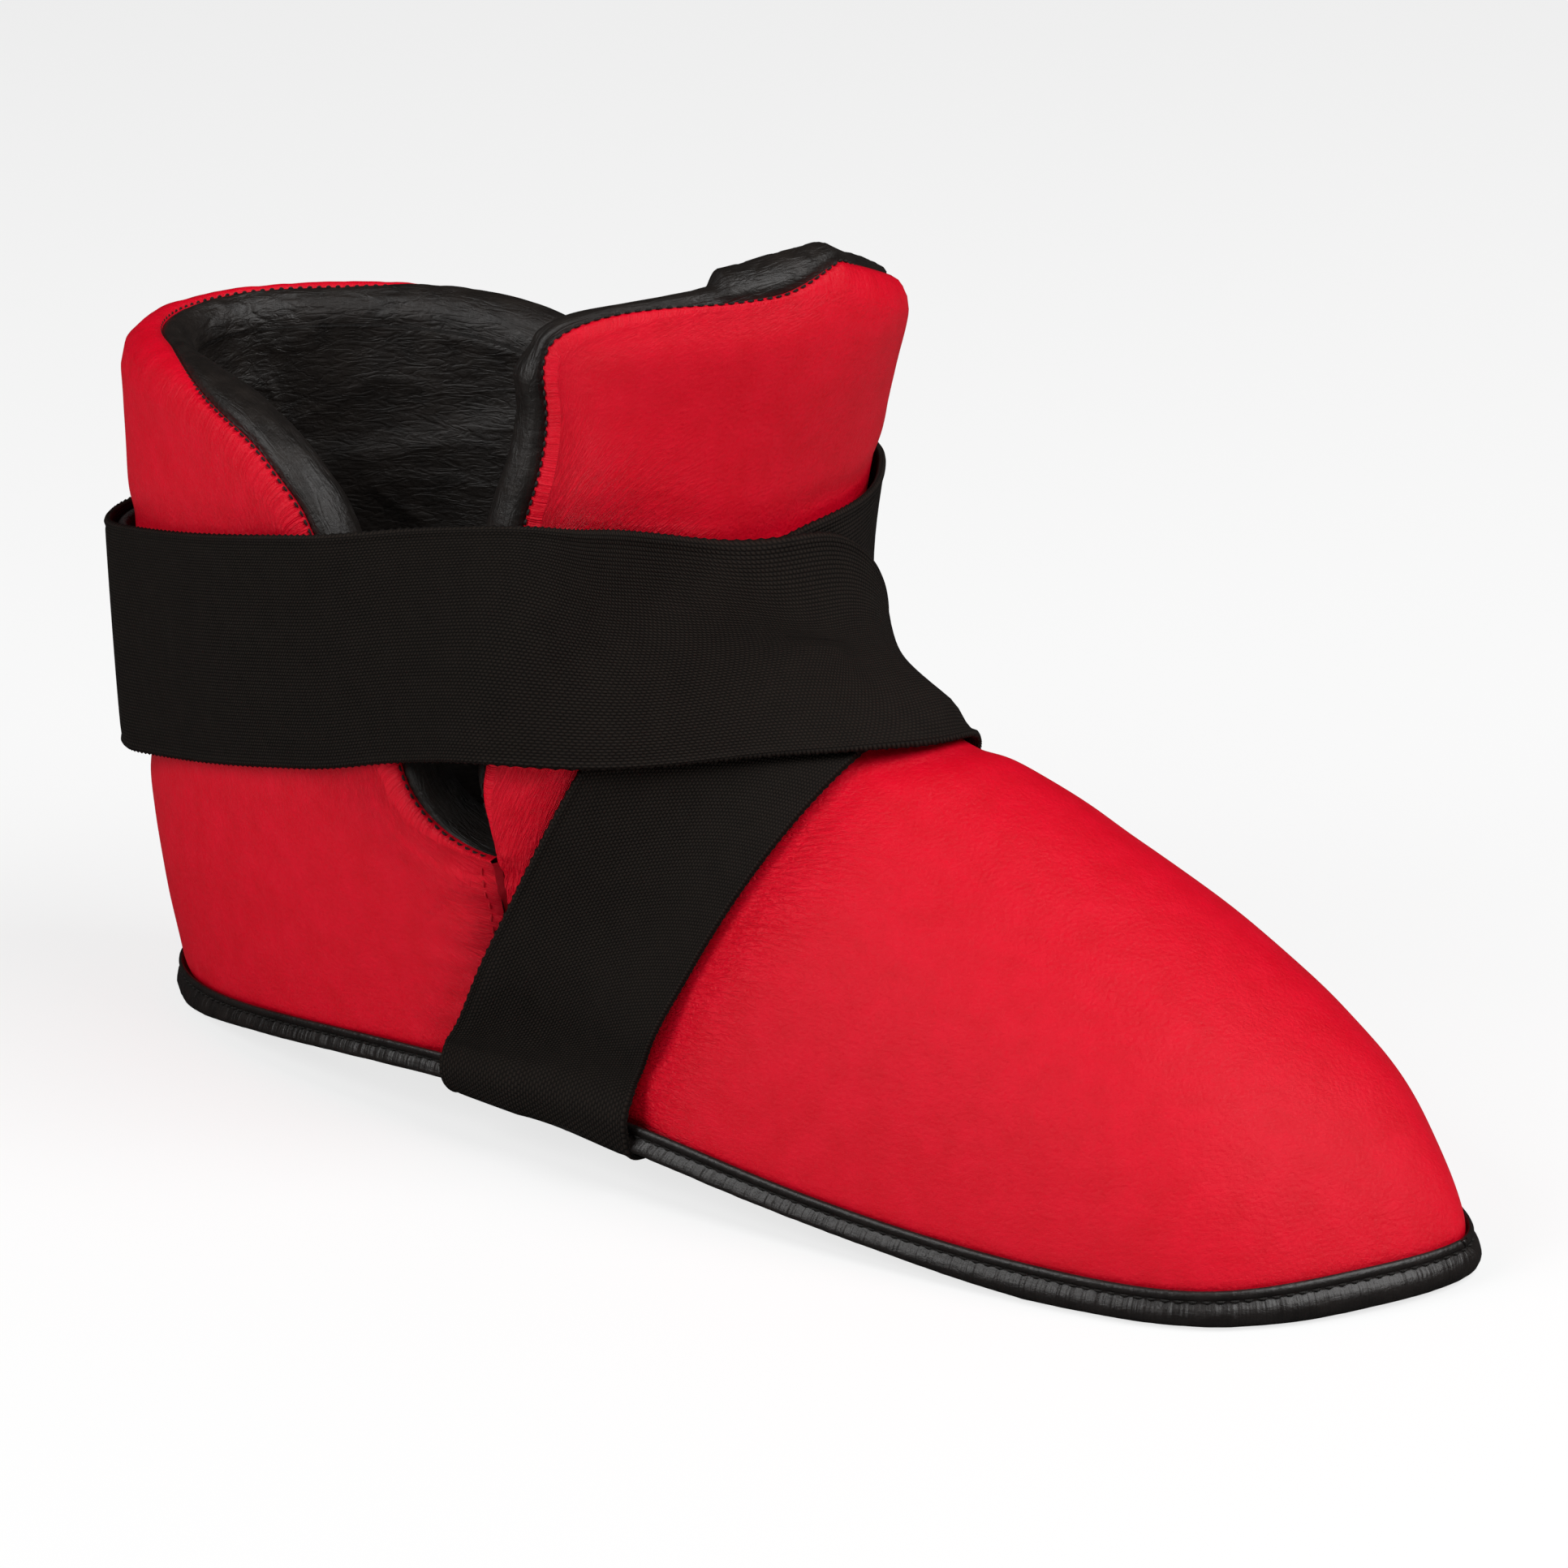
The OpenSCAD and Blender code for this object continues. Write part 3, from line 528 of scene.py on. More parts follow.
def fallRow(v, w, ridge):  # from the ridge at v = 0 to the sole at v = 1
    top = acrossFibres(ridge)
    if v < 0.01:
        return frontPoint(top, 90)
    q = station(top)
    guides = [(q[2], q[3])] + [(acrossFibres(x), acrossFibres(z)) for x, z in straps["fallGuides"]]
    t = v * v
    g = 1 - t
    weights = (g ** 3, 3 * g * g * t, 3 * g * t * t, t ** 3)
    x, z = (sum(k * guide[c] for k, guide in zip(weights, guides)) for c in (0, 1))
    return flank(x, lift + z, w)


def rearRow(t, f=fibres):
    rear, ankle = straps["rearReach"]
    x = heelPoint(t, lift + 80.0)[..., 0]
    z = lift + mix(*straps["rearTop"], clamp((x - rear) / (ankle - rear)))
    return heelPoint(t, z - straps["width"] * f)


def bridgeRow(k, w, ridge):  # free length from behind the ankle to the ankle edge
    return mix(rearRow(w * 74.0), levelRow(0, w, ridge), k) + np.array([0, 0, 3 * k * (1 - k)])


def soleRow(y, z, tilt):
    x = acrossFibres(straps["fallGuides"][-1][0])
    return np.stack([x, y + 0 * x, z + tilt * (1 - fibres)], -1)


def wrapRow(w, out, z, tilt):  # round the binding
    x = acrossFibres(straps["fallGuides"][-1][0])
    return soleRow(flank(x, np.full_like(x, lift + 14), w)[:, 1] + w * out, z, tilt)


def throughRows(rows, heights, spacing):
    rows = np.array(rows)
    knot = runAlong(rows).mean(1)
    h = np.diff(knot)
    n = len(knot)
    lhs, rhs = np.eye(n), np.zeros((n, rows.shape[1] * 3))
    flat = rows.reshape(n, -1)
    for i in range(1, n - 1):
        lhs[i, i - 1:i + 2] = h[i - 1] / 6, (h[i - 1] + h[i]) / 3, h[i] / 6
        rhs[i] = (flat[i + 1] - flat[i]) / h[i] - (flat[i] - flat[i - 1]) / h[i - 1]
    bend = np.linalg.solve(lhs, rhs)
    t = np.linspace(0, knot[-1], int(knot[-1] / spacing) + 1)
    i = np.clip(np.searchsorted(knot, t) - 1, 0, n - 2)
    a, b, g = ((knot[i + 1] - t) / h[i])[:, None], ((t - knot[i]) / h[i])[:, None], h[i][:, None]
    p = a * flat[i] + b * flat[i + 1] + ((a ** 3 - a) * bend[i] + (b ** 3 - b) * bend[i + 1]) * g * g / 6
    return p.reshape(len(t), -1, 3), t, evened(np.interp(t, knot, heights), spacing, 5, 20)


def netNormals(net):
    return unit(np.cross(np.gradient(net, axis=1), np.gradient(net, axis=0)))


def netTree(net):
    return BVHTree.FromPolygons(net.reshape(-1, 3).tolist(), gridFaces(indexOf(net)).tolist())


def distances(points, tree, reach=40.0):
    d = [tree.find_nearest(Vector(p), reach)[3] for p in points.reshape(-1, 3)]
    return np.array([reach if v is None else v for v in d]).reshape(points.shape[:-1])


def climbOver(points, n, tree):  # how far each point of a strap has to rise to lie on the strap below
    rise = np.zeros(points.shape[:2])
    for i, j in np.ndindex(*rise.shape):
        place, out, _, _ = tree.find_nearest(Vector(points[i, j]), 25.0)
        if place is not None:
            gap = points[i, j] - np.array(place)
            height = float(gap @ np.array(out) * np.sign(n[i, j] @ np.array(out)))
            aside = math.sqrt(max(gap @ gap - height ** 2, 0))
            rise[i, j] = np.clip(straps["over"] - height, 0, 6) * (1 - ease((aside - 2.5) / 6))
    return rise


def strapNet(steps, below=None):
    spacing = straps["spacing"]
    net, t, up = throughRows([s[0] for s in steps], [s[1] for s in steps], spacing)
    high = ease((net[..., 2:].mean(1, keepdims=True) - 40) / 20)  # the sharp turns round the sole stay

    def smooth(v):
        return evened(v, spacing, 4, 12)

    net = mix(net, smooth(smooth(net)), high)
    n = netNormals(net)
    n = unit(mix(n, smooth(smooth(n)), high))
    up = np.broadcast_to(up[:, None], net.shape[:2])
    if below is not None:
        places = np.arange(len(net))
        rise = climbOver(net[::3] + up[::3, :, None] * n[::3], n[::3], netTree(below[::3]))
        up = up + smooth(np.stack([np.interp(places, places[::3], c) for c in rise.T], -1))
    net = net + up[..., None] * n
    return mix(net, smooth(net), high), n, t


def solePart(w):  # from the flank's end round the binding to the middle of the sole
    sole, tilt = straps["underSole"], straps["soleTilt"]
    turns = ((2.4, lift + 11.5, 0.3), (2.4, lift + 8.5, 0.6), (1.9, sole + 2, 1), (0.2, sole + 0.5, 1),
             (-3, sole, 1), (-12, sole, 1))
    rows = [wrapRow(w, out, z, tilt * k) for out, z, k in turns]
    rows += [soleRow(w * y, sole, tilt) for y in (10, -8)]
    return [(row, 0) for row in rows]


def upperStrapNet():
    ridge, low, tail, ankle = (straps[k] for k in ("upperRidge", "low", "tail", "ankle"))
    slant = 2 * fibres - 1  # the loose end is cut on a slant
    loose = ((23, 1.4), (18, 0.9), (12, 0.3), (6, 0))
    steps = [(rearRow(t + 0.17 * t * slant), tail + up) for t, up in loose]
    steps += [(rearRow(t), tail) for t in (0, -8, -16, -24, -31)]
    steps += [(rearRow(-37), mix(tail, low, 0.7))]
    steps += [(rearRow(t), low) for t in (-46, -55, -62, -68, -74)]
    steps += [(bridgeRow(k, -1, ridge), h) for k, h in ((0.35, low), (0.7, ankle))]
    level = (0, 0.16, 0.32, 0.46, 0.6, 0.73, 1)
    steps += [(levelRow(u, -1, ridge), mix(ankle, low, ease(u / 0.3))) for u in level]
    steps += [(fallRow(v, 1, ridge), low) for v in (0.2, 0.35, 0.5, 0.62, 0.73, 0.82)]
    steps += [(fallRow(0.91, 1, ridge), 1.5), (fallRow(1, 1, ridge), 2.4)]
    return strapNet(steps + solePart(1), nets["lower"][0])


def lowerStrapNet():
    ridge, low, ankle = (straps[k] for k in ("lowerRidge", "low", "ankle"))
    steps = solePart(-1)[::-1] + [(fallRow(1, -1, ridge), 2.4), (fallRow(0.91, -1, ridge), 1.5)]
    steps += [(fallRow(v, -1, ridge), low) for v in (0.82, 0.73, 0.62, 0.5, 0.35, 0.2, 0)]
    level = (0.88, 0.75, 0.6, 0.46, 0.32, 0.16, 0)
    steps += [(levelRow(u, 1, ridge), mix(ankle, low, ease(u / 0.2))) for u in level]
    steps += [(bridgeRow(k, 1, ridge), h) for k, h in ((0.7, ankle), (0.35, low))]
    onPanel = ((74, 0), (68, 0), (62, 0), (58, 0.2), (55, 1.2), (52, 2.1), (49.5, 2.15), (46.5, 2.15))
    return strapNet(steps + [(rearRow(t), low + up) for t, up in onPanel])


def loopPanelNet():
    across, up = acrossFibres(loopPanel["fibres"]), straps["low"] + loopPanel["up"]
    return strapNet([(rearRow(t, across), up) for t in np.linspace(52, -33, 18)])


def hookPatchNet():
    across, up = acrossFibres(hookPatch["fibres"]), straps["tail"] - hookPatch["under"]
    return strapNet([(rearRow(t, across), up) for t in np.linspace(18, -16, 10)])


nets = {"lower": lowerStrapNet(), "loop": loopPanelNet()}
nets["upper"] = upperStrapNet()
print("strap nets laid")


def bandMesh(name, net, normal, t, thick, material, tooth=0.0):
    m = net.shape[1]
    across = runAlong(net, 1).mean(0)
    fromEdge = np.minimum(across, across[-1] - across)
    knitted = 0.16 * bell(fromEdge - 0.7, 0.55) - 0.14 * bell(fromEdge - 2.0, 0.5)  # a cord along each edge
    half = thick / 2 * np.sqrt(clamp(fromEdge / 0.9) * (2 - clamp(fromEdge / 0.9)))
    top = net + normal * (thick / 2 + half + knitted)[None, :, None]
    low = net + normal * (thick / 2 - half)[None, :, None]
    if tooth:
        side = unit(np.gradient(net, axis=1))
        saw = tooth * (0.5 + 0.5 * np.cos(2 * np.pi * t / straps["toothPitch"]))
        for grid in (top, low):
            grid[:, 0] -= side[:, 0] * saw[:, None]
            grid[:, -1] += side[:, -1] * saw[:, None]
    ring = np.concatenate([top, low[:, -2:0:-1]], 1)
    index = indexOf(ring)
    faces = tubeFaces(index)[:, ::-1].tolist()
    for row, turn in ((index[0], 1), (index[-1], -1)):  # closed ends, quad by quad
        lowSide = np.concatenate([[row[0]], row[:m - 1:-1], [row[m - 1]]])
        for j in range(m - 1):
            f = [int(v) for v in (row[j], row[j + 1], lowSide[j + 1], lowSide[j])]
            f = [v for k, v in enumerate(f) if v not in f[:k]]
            faces.append(f[::turn])
    around = np.concatenate([across, across[-2:0:-1]])
    uv = np.stack(np.broadcast_arrays(t[:, None], around[None, :]), -1) * mm
    return newMesh(name, ring, faces, material, {"UVMap": uv})


def makeStraps():
    made = {}
    for name, key in (("upperStrap", "upper"), ("lowerStrap", "lower")):
        net, n, t = nets[key]
        made[key] = bandMesh(name, net, n, t, straps["thick"], elasticWeave, straps["edgeTooth"])
    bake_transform(made["upper"])
    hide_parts("upper_strap", "strap_tail")
    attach(made["lower"], "boot")
    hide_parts("lower_strap", "under_band")
    net, n, t = nets["loop"]
    net = net + n * (loopPanel["nap"] * waves(net, 1.1))[..., None]
    loop = bandMesh("loopPanel", net, n, t, loopPanel["thick"], loopPile)
    net, n, t2 = hookPatchNet()
    hook = bandMesh("hookPatch", net, n, t2, hookPatch["thick"], hookTape)
    for piece, look, length, slot, body, node in (
            (loop, loopPanel, t[-1], "loop", "boot", "loop_panel"),
            (hook, hookPatch, t2[-1], "hook", "strap_end", "hook_patch")):
        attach(piece, body)
        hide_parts(node)


makeStraps()
print("straps made")

# cloth pass for the covers, on every fourth point of their grids, with the swell capped in millimetres
swelling = {"step": 4, "frames": 20, "pressure": 90.0, "cap": 1.2, "even": 4}


def settleCover(name, grid, normals, hold):  # how far the cover swells between its seams and the straps
    k = swelling["step"]
    base, n = grid[::k, ::k], normals[::k, ::k]
    cloth = newMesh(name, base, gridFaces(indexOf(base))[:, ::-1], redLeather)
    group = cloth.vertex_groups.new(name="hold")
    for i, v in enumerate(hold[::k, ::k].ravel()):
        group.add([i], float(v), "REPLACE")
    swell = cloth.modifiers.new("swell", "CLOTH")
    rules = swell.settings
    rules.quality, rules.mass = 6, 0.25
    rules.tension_stiffness = rules.compression_stiffness = 18
    rules.shear_stiffness, rules.bending_stiffness = 8, 4
    rules.use_pressure, rules.uniform_pressure_force = True, swelling["pressure"]
    rules.vertex_group_mass = "hold"
    rules.effector_weights.gravity = 0
    swell.collision_settings.use_collision = False
    swell.point_cache.frame_start, swell.point_cache.frame_end = 1, swelling["frames"]
    for f in range(1, swelling["frames"] + 1):
        scene.frame_set(f)
    mesh = cloth.evaluated_get(bpy.context.evaluated_depsgraph_get()).to_mesh()
    moved = np.empty(len(mesh.vertices) * 3)
    mesh.vertices.foreach_get("co", moved)
    moved = moved.reshape(base.shape) / mm - boot["middle"]
    scene.frame_set(1)
    bpy.data.objects.remove(cloth)
    out = ((moved - base) * n).sum(-1)
    print(name, "swells by", out.min().round(2), "to", out.max().round(2), "mm")
    out = swelling["cap"] * np.tanh(out / swelling["cap"])
    for _ in range(swelling["even"]):
        side = np.pad(out, 1, mode="edge")
        out = out / 2 + (side[:-2, 1:-1] + side[2:, 1:-1] + side[1:-1, :-2] + side[1:-1, 2:]) / 8
    fine = splineThrough(out)(np.arange(grid.shape[0]) / k)
    return splineThrough(fine.T)(np.arange(grid.shape[1]) / k).T


# padded walls: a red cover sewn to a black lining that rolls over the open edges
seams = {
    "rimTuck": 0.5, "rimEnd": 0.9, "sideTuck": 1.9, "tuckReach": 4.2,  # how far the cover dips into a seam
    "hemTuck": 0.9, "hemReach": 3,                                     # and above the binding
    "coverHem": 3.5, "liningHem": 12.4,                                # widths turned in at the lower edges
    "puff": 0.45, "puffAt": 8, "puffReach": 5,                         # fullness beside a seam
    "press": 1.1, "pressReach": 4.5,                                   # dent under a strap
    "stitchPitch": 1.9, "stitch": 1.25, "thread": 0.26,
    # gathers: length along the seam and away from it, height and reach at the roll and at a sewn seam
    "gathers": ({"along": 3.4, "away": 24, "roll": (0.36, 6), "sewn": (0.75, 11), "seed": 4.4, "layer": 0},
                {"along": 1.9, "away": 14, "roll": (0.16, 3.5), "sewn": (0.4, 6), "seed": 1.3, "layer": 5}),
}


def strapNear(points):  # distance from the nearest strap
    return np.minimum.reduce([distances(points, netTree(nets[key][0][::6])) for key in nets])


def restingShape(base, n, fromEdge, near, seeds):  # softly uneven, and dented by the straps
    soft = 0.5 * waves(base, 34, seeds[0]) + 0.2 * waves(base, 13, seeds[1])
    dent = seams["press"] * bell(np.maximum(near - 1.2, 0), seams["pressReach"])
    return base + n * (soft * clamp(fromEdge / 8) - dent)[..., None]


def overTheTop(low, last, wide):  # border of a grid from one side over the top row to the other side
    return ([(i, 0) for i in range(low, last)] + [(last, j) for j in range(wide)]
            + [(i, wide) for i in range(last, low - 1, -1)])


def borderOf(grid, path):  # distance from a border, run along it and place in it, for every point of a grid
    line = grid[tuple(np.array(path).T)]
    tree = KDTree(len(line))
    for i, p in enumerate(line):
        tree.insert(Vector(p), i)
    tree.balance()
    found = np.array([tree.find(Vector(p))[1:] for p in grid.reshape(-1, 3)])
    place = found[:, 0].astype(int).reshape(grid.shape[:-1])
    return found[:, 1].reshape(place.shape), runAlong(line)[place], place


def seamShape(d, run, sewn):  # the cover's dip into its seams and the gathers beside them
    shape = seams["puff"] * bell(d - seams["puffAt"], seams["puffReach"])
    shape = shape - sewn * seams["sideTuck"] * bell(d, seams["tuckReach"])
    for g in seams["gathers"]:
        roll, flat = (height * np.exp(-d / reach) for height, reach in (g["roll"], g["sewn"]))
        ways = noisePlaces(run / g["along"], d / g["away"], g["layer"])
        shape = shape + waves(ways, 1.0, g["seed"]) * mix(roll, flat, sewn)
    return shape


def overRoll(angle):  # length round the roll
    return np.radians(angle) * wall / 2


def rimFrame(grid, normals, path):
    i, j = np.array(path).T
    p, n = grid[i, j], normals[i, j]
    side = unit(np.cross(n, unit(np.gradient(p, axis=0))))
    arc = runAlong(p)
    near = bell(arc[:, None] - arc[None, :], 7)
    n = unit(near @ n)
    side = near @ side
    side = unit(side - (side * n).sum(-1, keepdims=True) * n)
    return p, n, side, arc


def creaseLines(points, seed, width=0.12):  # thin wandering creases, 1 in the crease
    return np.maximum(0, 1 - np.abs(waves(points, 1.0, seed)) / width)


def stripFaces(edge, here):
    return np.stack([edge[:-1], edge[1:], here[1:], here[:-1]], -1)


def ringStrips(rings, border, start):
    faces, last = [], border
    for k, ring in enumerate(rings):
        here = start + k * len(ring) + np.arange(len(ring))
        faces.append(stripFaces(last, here))
        last = here
    return np.concatenate(faces)


def hemStrips(hems, surface, normal, index, start, depth, turned):  # turned in at the lower edges
    points, faces = [], []
    for rows, columns, shift, flip in hems:
        edge = index[rows, columns]
        here = start + sum(len(q) for q in points) + np.arange(len(edge))
        deeper = surface[rows, columns] - depth * normal[rows, columns]
        points.append(deeper + np.array([shift * turned, 0, 0]))
        faces.append(stripFaces(edge, here)[:, ::-1] if flip else stripFaces(edge, here))
    return points, faces


def softenRim(grid, rings, path, inward):  # smooths the bend where the cover turns over the roll
    deep = np.arange(inward)[::-1]
    last, wide = grid.shape[0] - 1, grid.shape[1] - 1
    count = np.ones(grid.shape[:2])
    total = grid.copy()
    for k, (i, j) in enumerate(path):
        if j in (0, wide) and i < last:
            rows, columns = np.full(inward, i), abs(j - deep)
        else:
            rows, columns = i - deep, np.full(inward, j)
        line = np.concatenate([grid[rows, columns], [r[k] for r in rings]])
        u = runAlong(line)
        u = u - u[inward - 1]
        near = bell(u[:, None] - u[None, :], 2.6) * np.gradient(u)[None, :]
        even = near @ line / near.sum(1, keepdims=True)
        line = mix(line, even, (ease((u + 8) / 5) * ease((u[-1] - u) / 1.5))[:, None])
        total[rows, columns] += line[:inward]
        count[rows, columns] += 1
        for r, q in zip(rings, line[inward:]):
            r[k] = q
    touched = count > 1
    total[touched] = (total[touched] - grid[touched]) / (count[touched] - 1)[:, None]
    return total


def paddedWall(name, base, grid, normals, path, swell, seam, hems, looks):
    index = indexOf(grid)
    onPath = tuple(np.array(path).T)
    p, n, side, arc = rimFrame(base, normals, path)
    radius = wall / 2
    centre = p - radius * n
    tuck, end = seams["rimTuck"], seams["rimEnd"]

    def aim(angle):
        a = np.radians(np.broadcast_to(angle, arc.shape))[:, None]
        return np.cos(a) * n + swell[:, None] * np.sin(a) * side

    def ringAt(angle, out):
        return centre + (radius + np.broadcast_to(out, arc.shape))[:, None] * aim(angle)

    def onRim(v, times):
        return np.concatenate([v[onPath]] * times)

    # cover, with its last rings drawn into the seam
    rimRun = looks["values"]["seamRun"][onPath]
    rings = [ringAt(seam * k, seamShape(overRoll(seam * (1 - k)), rimRun, 0 * seam))
             for k in (0.3, 0.6, 0.85)]
    rings += [ringAt(seam, -tuck), ringAt(seam + 3, -tuck - end)]
    grid = softenRim(grid, rings[:4], path, looks["inward"])
    faces = ringStrips(rings, index[onPath], index.size)
    start = index.size + len(rings) * len(arc)
    hemPoints, hemFaces = hemStrips(hems, grid, normals, index, start, seams["coverHem"], True)
    rest = sum(len(q) for q in hemPoints)
    values = {key: np.concatenate([v.ravel(), onRim(v, len(rings)), np.full(rest, 0.2)])
              for key, v in looks["values"].items()}
    creases = looks["creases"]
    creaseMap = np.concatenate([creases.reshape(-1, 2), onRim(creases, len(rings)), np.zeros((rest, 2))])
    cover = newMesh(
        name + "Cover", np.concatenate([grid.reshape(-1, 3)] + rings + hemPoints),
        np.concatenate([gridFaces(index)[:, ::-1], faces] + [f[:, ::-1] for f in hemFaces]),
        redLeather, {"creaseMap": creaseMap}, values)

    # lining: the roll over the open edge, the inner face and its turned lower edge
    inside = base - wall * normals
    long = np.stack([looks["lining"][..., 0] / 9, looks["lining"][..., 1] / 26, 0 * inside[..., 0]], -1)
    folds = 0.5 * waves(inside, 22, 3.1) + 0.12 * waves(inside * (1, 1, 2.4), 12, 7.7)
    inside = inside + normals * (looks["creased"] * (folds - 0.3 * creaseLines(long, 2.7)))[..., None]
    angles = [mix(seam - 3, 180.0, k) for k in np.linspace(0, 1, 26)[:-1]][::-1]
    rings = []
    for angle in angles:
        toSeam = overRoll(angle - seam)
        shape = noisePlaces(arc / 13, angle / 22)
        lump = 0.45 + 0.3 * waves(shape * (1, 0.4, 1), 1.0, 5.2) - 0.42 * creaseLines(shape, 8.8, 0.14)
        lump += 0.3 * waves(noisePlaces(arc / 3.1, angle / 40), 1.0, 2.2) * np.exp(-np.abs(toSeam) / 4)
        over = np.sin(math.pi * clamp((angle - seam) / (180 - seam)))
        rings.append(ringAt(angle, (lump + looks["rise"]) * over - (tuck + end) * bell(toSeam, 1.3)))
    faces = ringStrips(rings, index[onPath], index.size)
    start = index.size + len(rings) * len(arc)
    hemPoints, hemFaces = hemStrips(hems, inside, normals, index, start, -seams["liningHem"], False)
    rollMap = [np.stack([overRoll(angle) / 1.6, arc / 8], -1) for angle in angles]
    hemMap = np.zeros((sum(len(q) for q in hemPoints), 2))
    liningMap = np.concatenate([looks["lining"].reshape(-1, 2) / (1.8, 8)] + rollMap + [hemMap])
    lining = newMesh(
        name + "Lining", np.concatenate([inside.reshape(-1, 3)] + rings + hemPoints),
        np.concatenate([gridFaces(index), faces[:, ::-1]] + hemFaces),
        blackLining, {"creaseMap": liningMap}, {"crinkle": np.full(len(liningMap), 0.7)})
    for piece, slot, nodes in ((cover, "red_leather", looks["coverNodes"]),
                               (lining, "black_lining", looks["liningNodes"])):
        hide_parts(*nodes)
    sunk = 0.2 - 0.6 * ease((seam - 45) / 12)  # the thread lies deeper where the seam is on top of the roll
    stitches = stitchesAlong(
        name + "SeamStitches", ringAt(seam, -tuck + sunk), aim(seam),
        seams["stitchPitch"], seams["stitch"], seams["thread"], blackThread)
    return cover, lining, stitches


def stitchesAlong(name, line, outward, pitch, length, radius, material):
    run = runAlong(line)
    places = np.arange(1.5, run[-1] - 1.5, pitch)
    a, b = pickAt(places, run, line), pickAt(places + length, run, line)
    out = unit(pickAt(places + length / 2, run, outward))
    turns, steps = 6, np.linspace(0, 1, 7)
    ahead = unit(b - a)
    up = unit(out - (out * ahead).sum(-1, keepdims=True) * ahead)
    side = np.cross(ahead, up)
    points = []
    for k in steps:
        bow = math.sin(math.pi * k)
        r = radius * (0.35 + 0.65 * bow ** 0.5)
        mid = mix(a, b, k) + up * (radius * (1.1 * bow ** 0.6 - 0.4))
        for angle in 2 * math.pi * np.arange(turns) / turns:
            points.append(mid + r * (math.cos(angle) * up + math.sin(angle) * side))
    p = np.array(points).reshape(len(steps), turns, len(a), 3).transpose(2, 0, 1, 3)
    one = indexOf(p[0])
    faces = tubeFaces(one)[:, ::-1].tolist() + [one[0].tolist(), one[-1][::-1].tolist()]
    faces = [[v + i * one.size for v in f] for i in range(len(a)) for f in faces]
    obj = newMesh(name, p, faces, material)
    return obj


frontPad = {
    "rows": 301, "columns": 241, "seeds": (1.7, 6.3),
    "seamRow": 6.8, "cutRow": 9, "tongueRow": 11,  # where the side seam, the ankle cut and the tongue start
    "corner": 1.3, "fall": 2.1,  # the top edge is rounded on the lateral side and lower on the medial side
    # degrees from the outer face to the red and black seam
    "cutSeam": 34, "sideSeam": 22, "cornerSeam": 24, "topSeam": 8, "medialSeam": 60,
    "thinRoll": -2.7,            # the roll's rise up to the fold in it
    "hem": -2.5, "inward": 34,   # shift of the turned edge, and grid points that the bend is smoothed over
    "foldFrom": (0, 0, 0.1282), "foldTo": (0, 0, 0.1492),  # metres, where the tongue folds
}


def frontGrid():
    fine = np.linspace(0.04, topRow, 1400)
    lines = frontPoint(fine[:, None], np.array([0, 45, 90, 135, 180]))
    step = np.linalg.norm(np.diff(lines, axis=0), axis=-1).mean(1)
    closer = 1 + 0.7 * ease((fine[1:] - 5.5) / 1.5)  # rows of the grid on the tongue
    run = np.concatenate([[0], np.cumsum(step * closer)])
    s = np.interp(np.linspace(0, run[-1], frontPad["rows"]), run, fine)
    a = np.linspace(0, 180, frontPad["columns"])
    corner = frontPad["corner"] * (1 - clamp(a / 45)) ** 2
    fall = frontPad["fall"] * (1 - (1 - clamp((a - 86) / 94)) ** 4)
    low, rows = frontPad["tongueRow"], s[:, None]
    ss = np.where(rows > low, low + (rows - low) * (topRow - corner - fall - low) / (topRow - low), rows)
    return s, ss, np.broadcast_to(a, ss.shape)


def frontSeam(s, aa, path):  # angle of the red and black seam and the roll's rise, along the open edge
    last = len(s) - 1
    upSide = np.array([s[i] for i, j in path])
    onTop = np.array([aa[i, j] for i, j in path])
    fromCorner = np.array([min(aa[i, j], 180 - aa[i, j]) if i == last else 0.0 for i, j in path])
    seam = mix(frontPad["cutSeam"], frontPad["sideSeam"], ease((upSide - frontPad["cutRow"]) / 1.6))
    seam = mix(seam, frontPad["cornerSeam"], ease((upSide - 12.5) / 1.2))
    seam = mix(seam, frontPad["topSeam"], ease((fromCorner - 12) / 35))
    seam = mix(seam, frontPad["medialSeam"], ease((onTop - 60) / 42) * ease((178 - onTop) / 40))
    return seam, frontPad["thinRoll"] * ease((48 - onTop) / 5) * ease((upSide - 12.6) / 1.2)


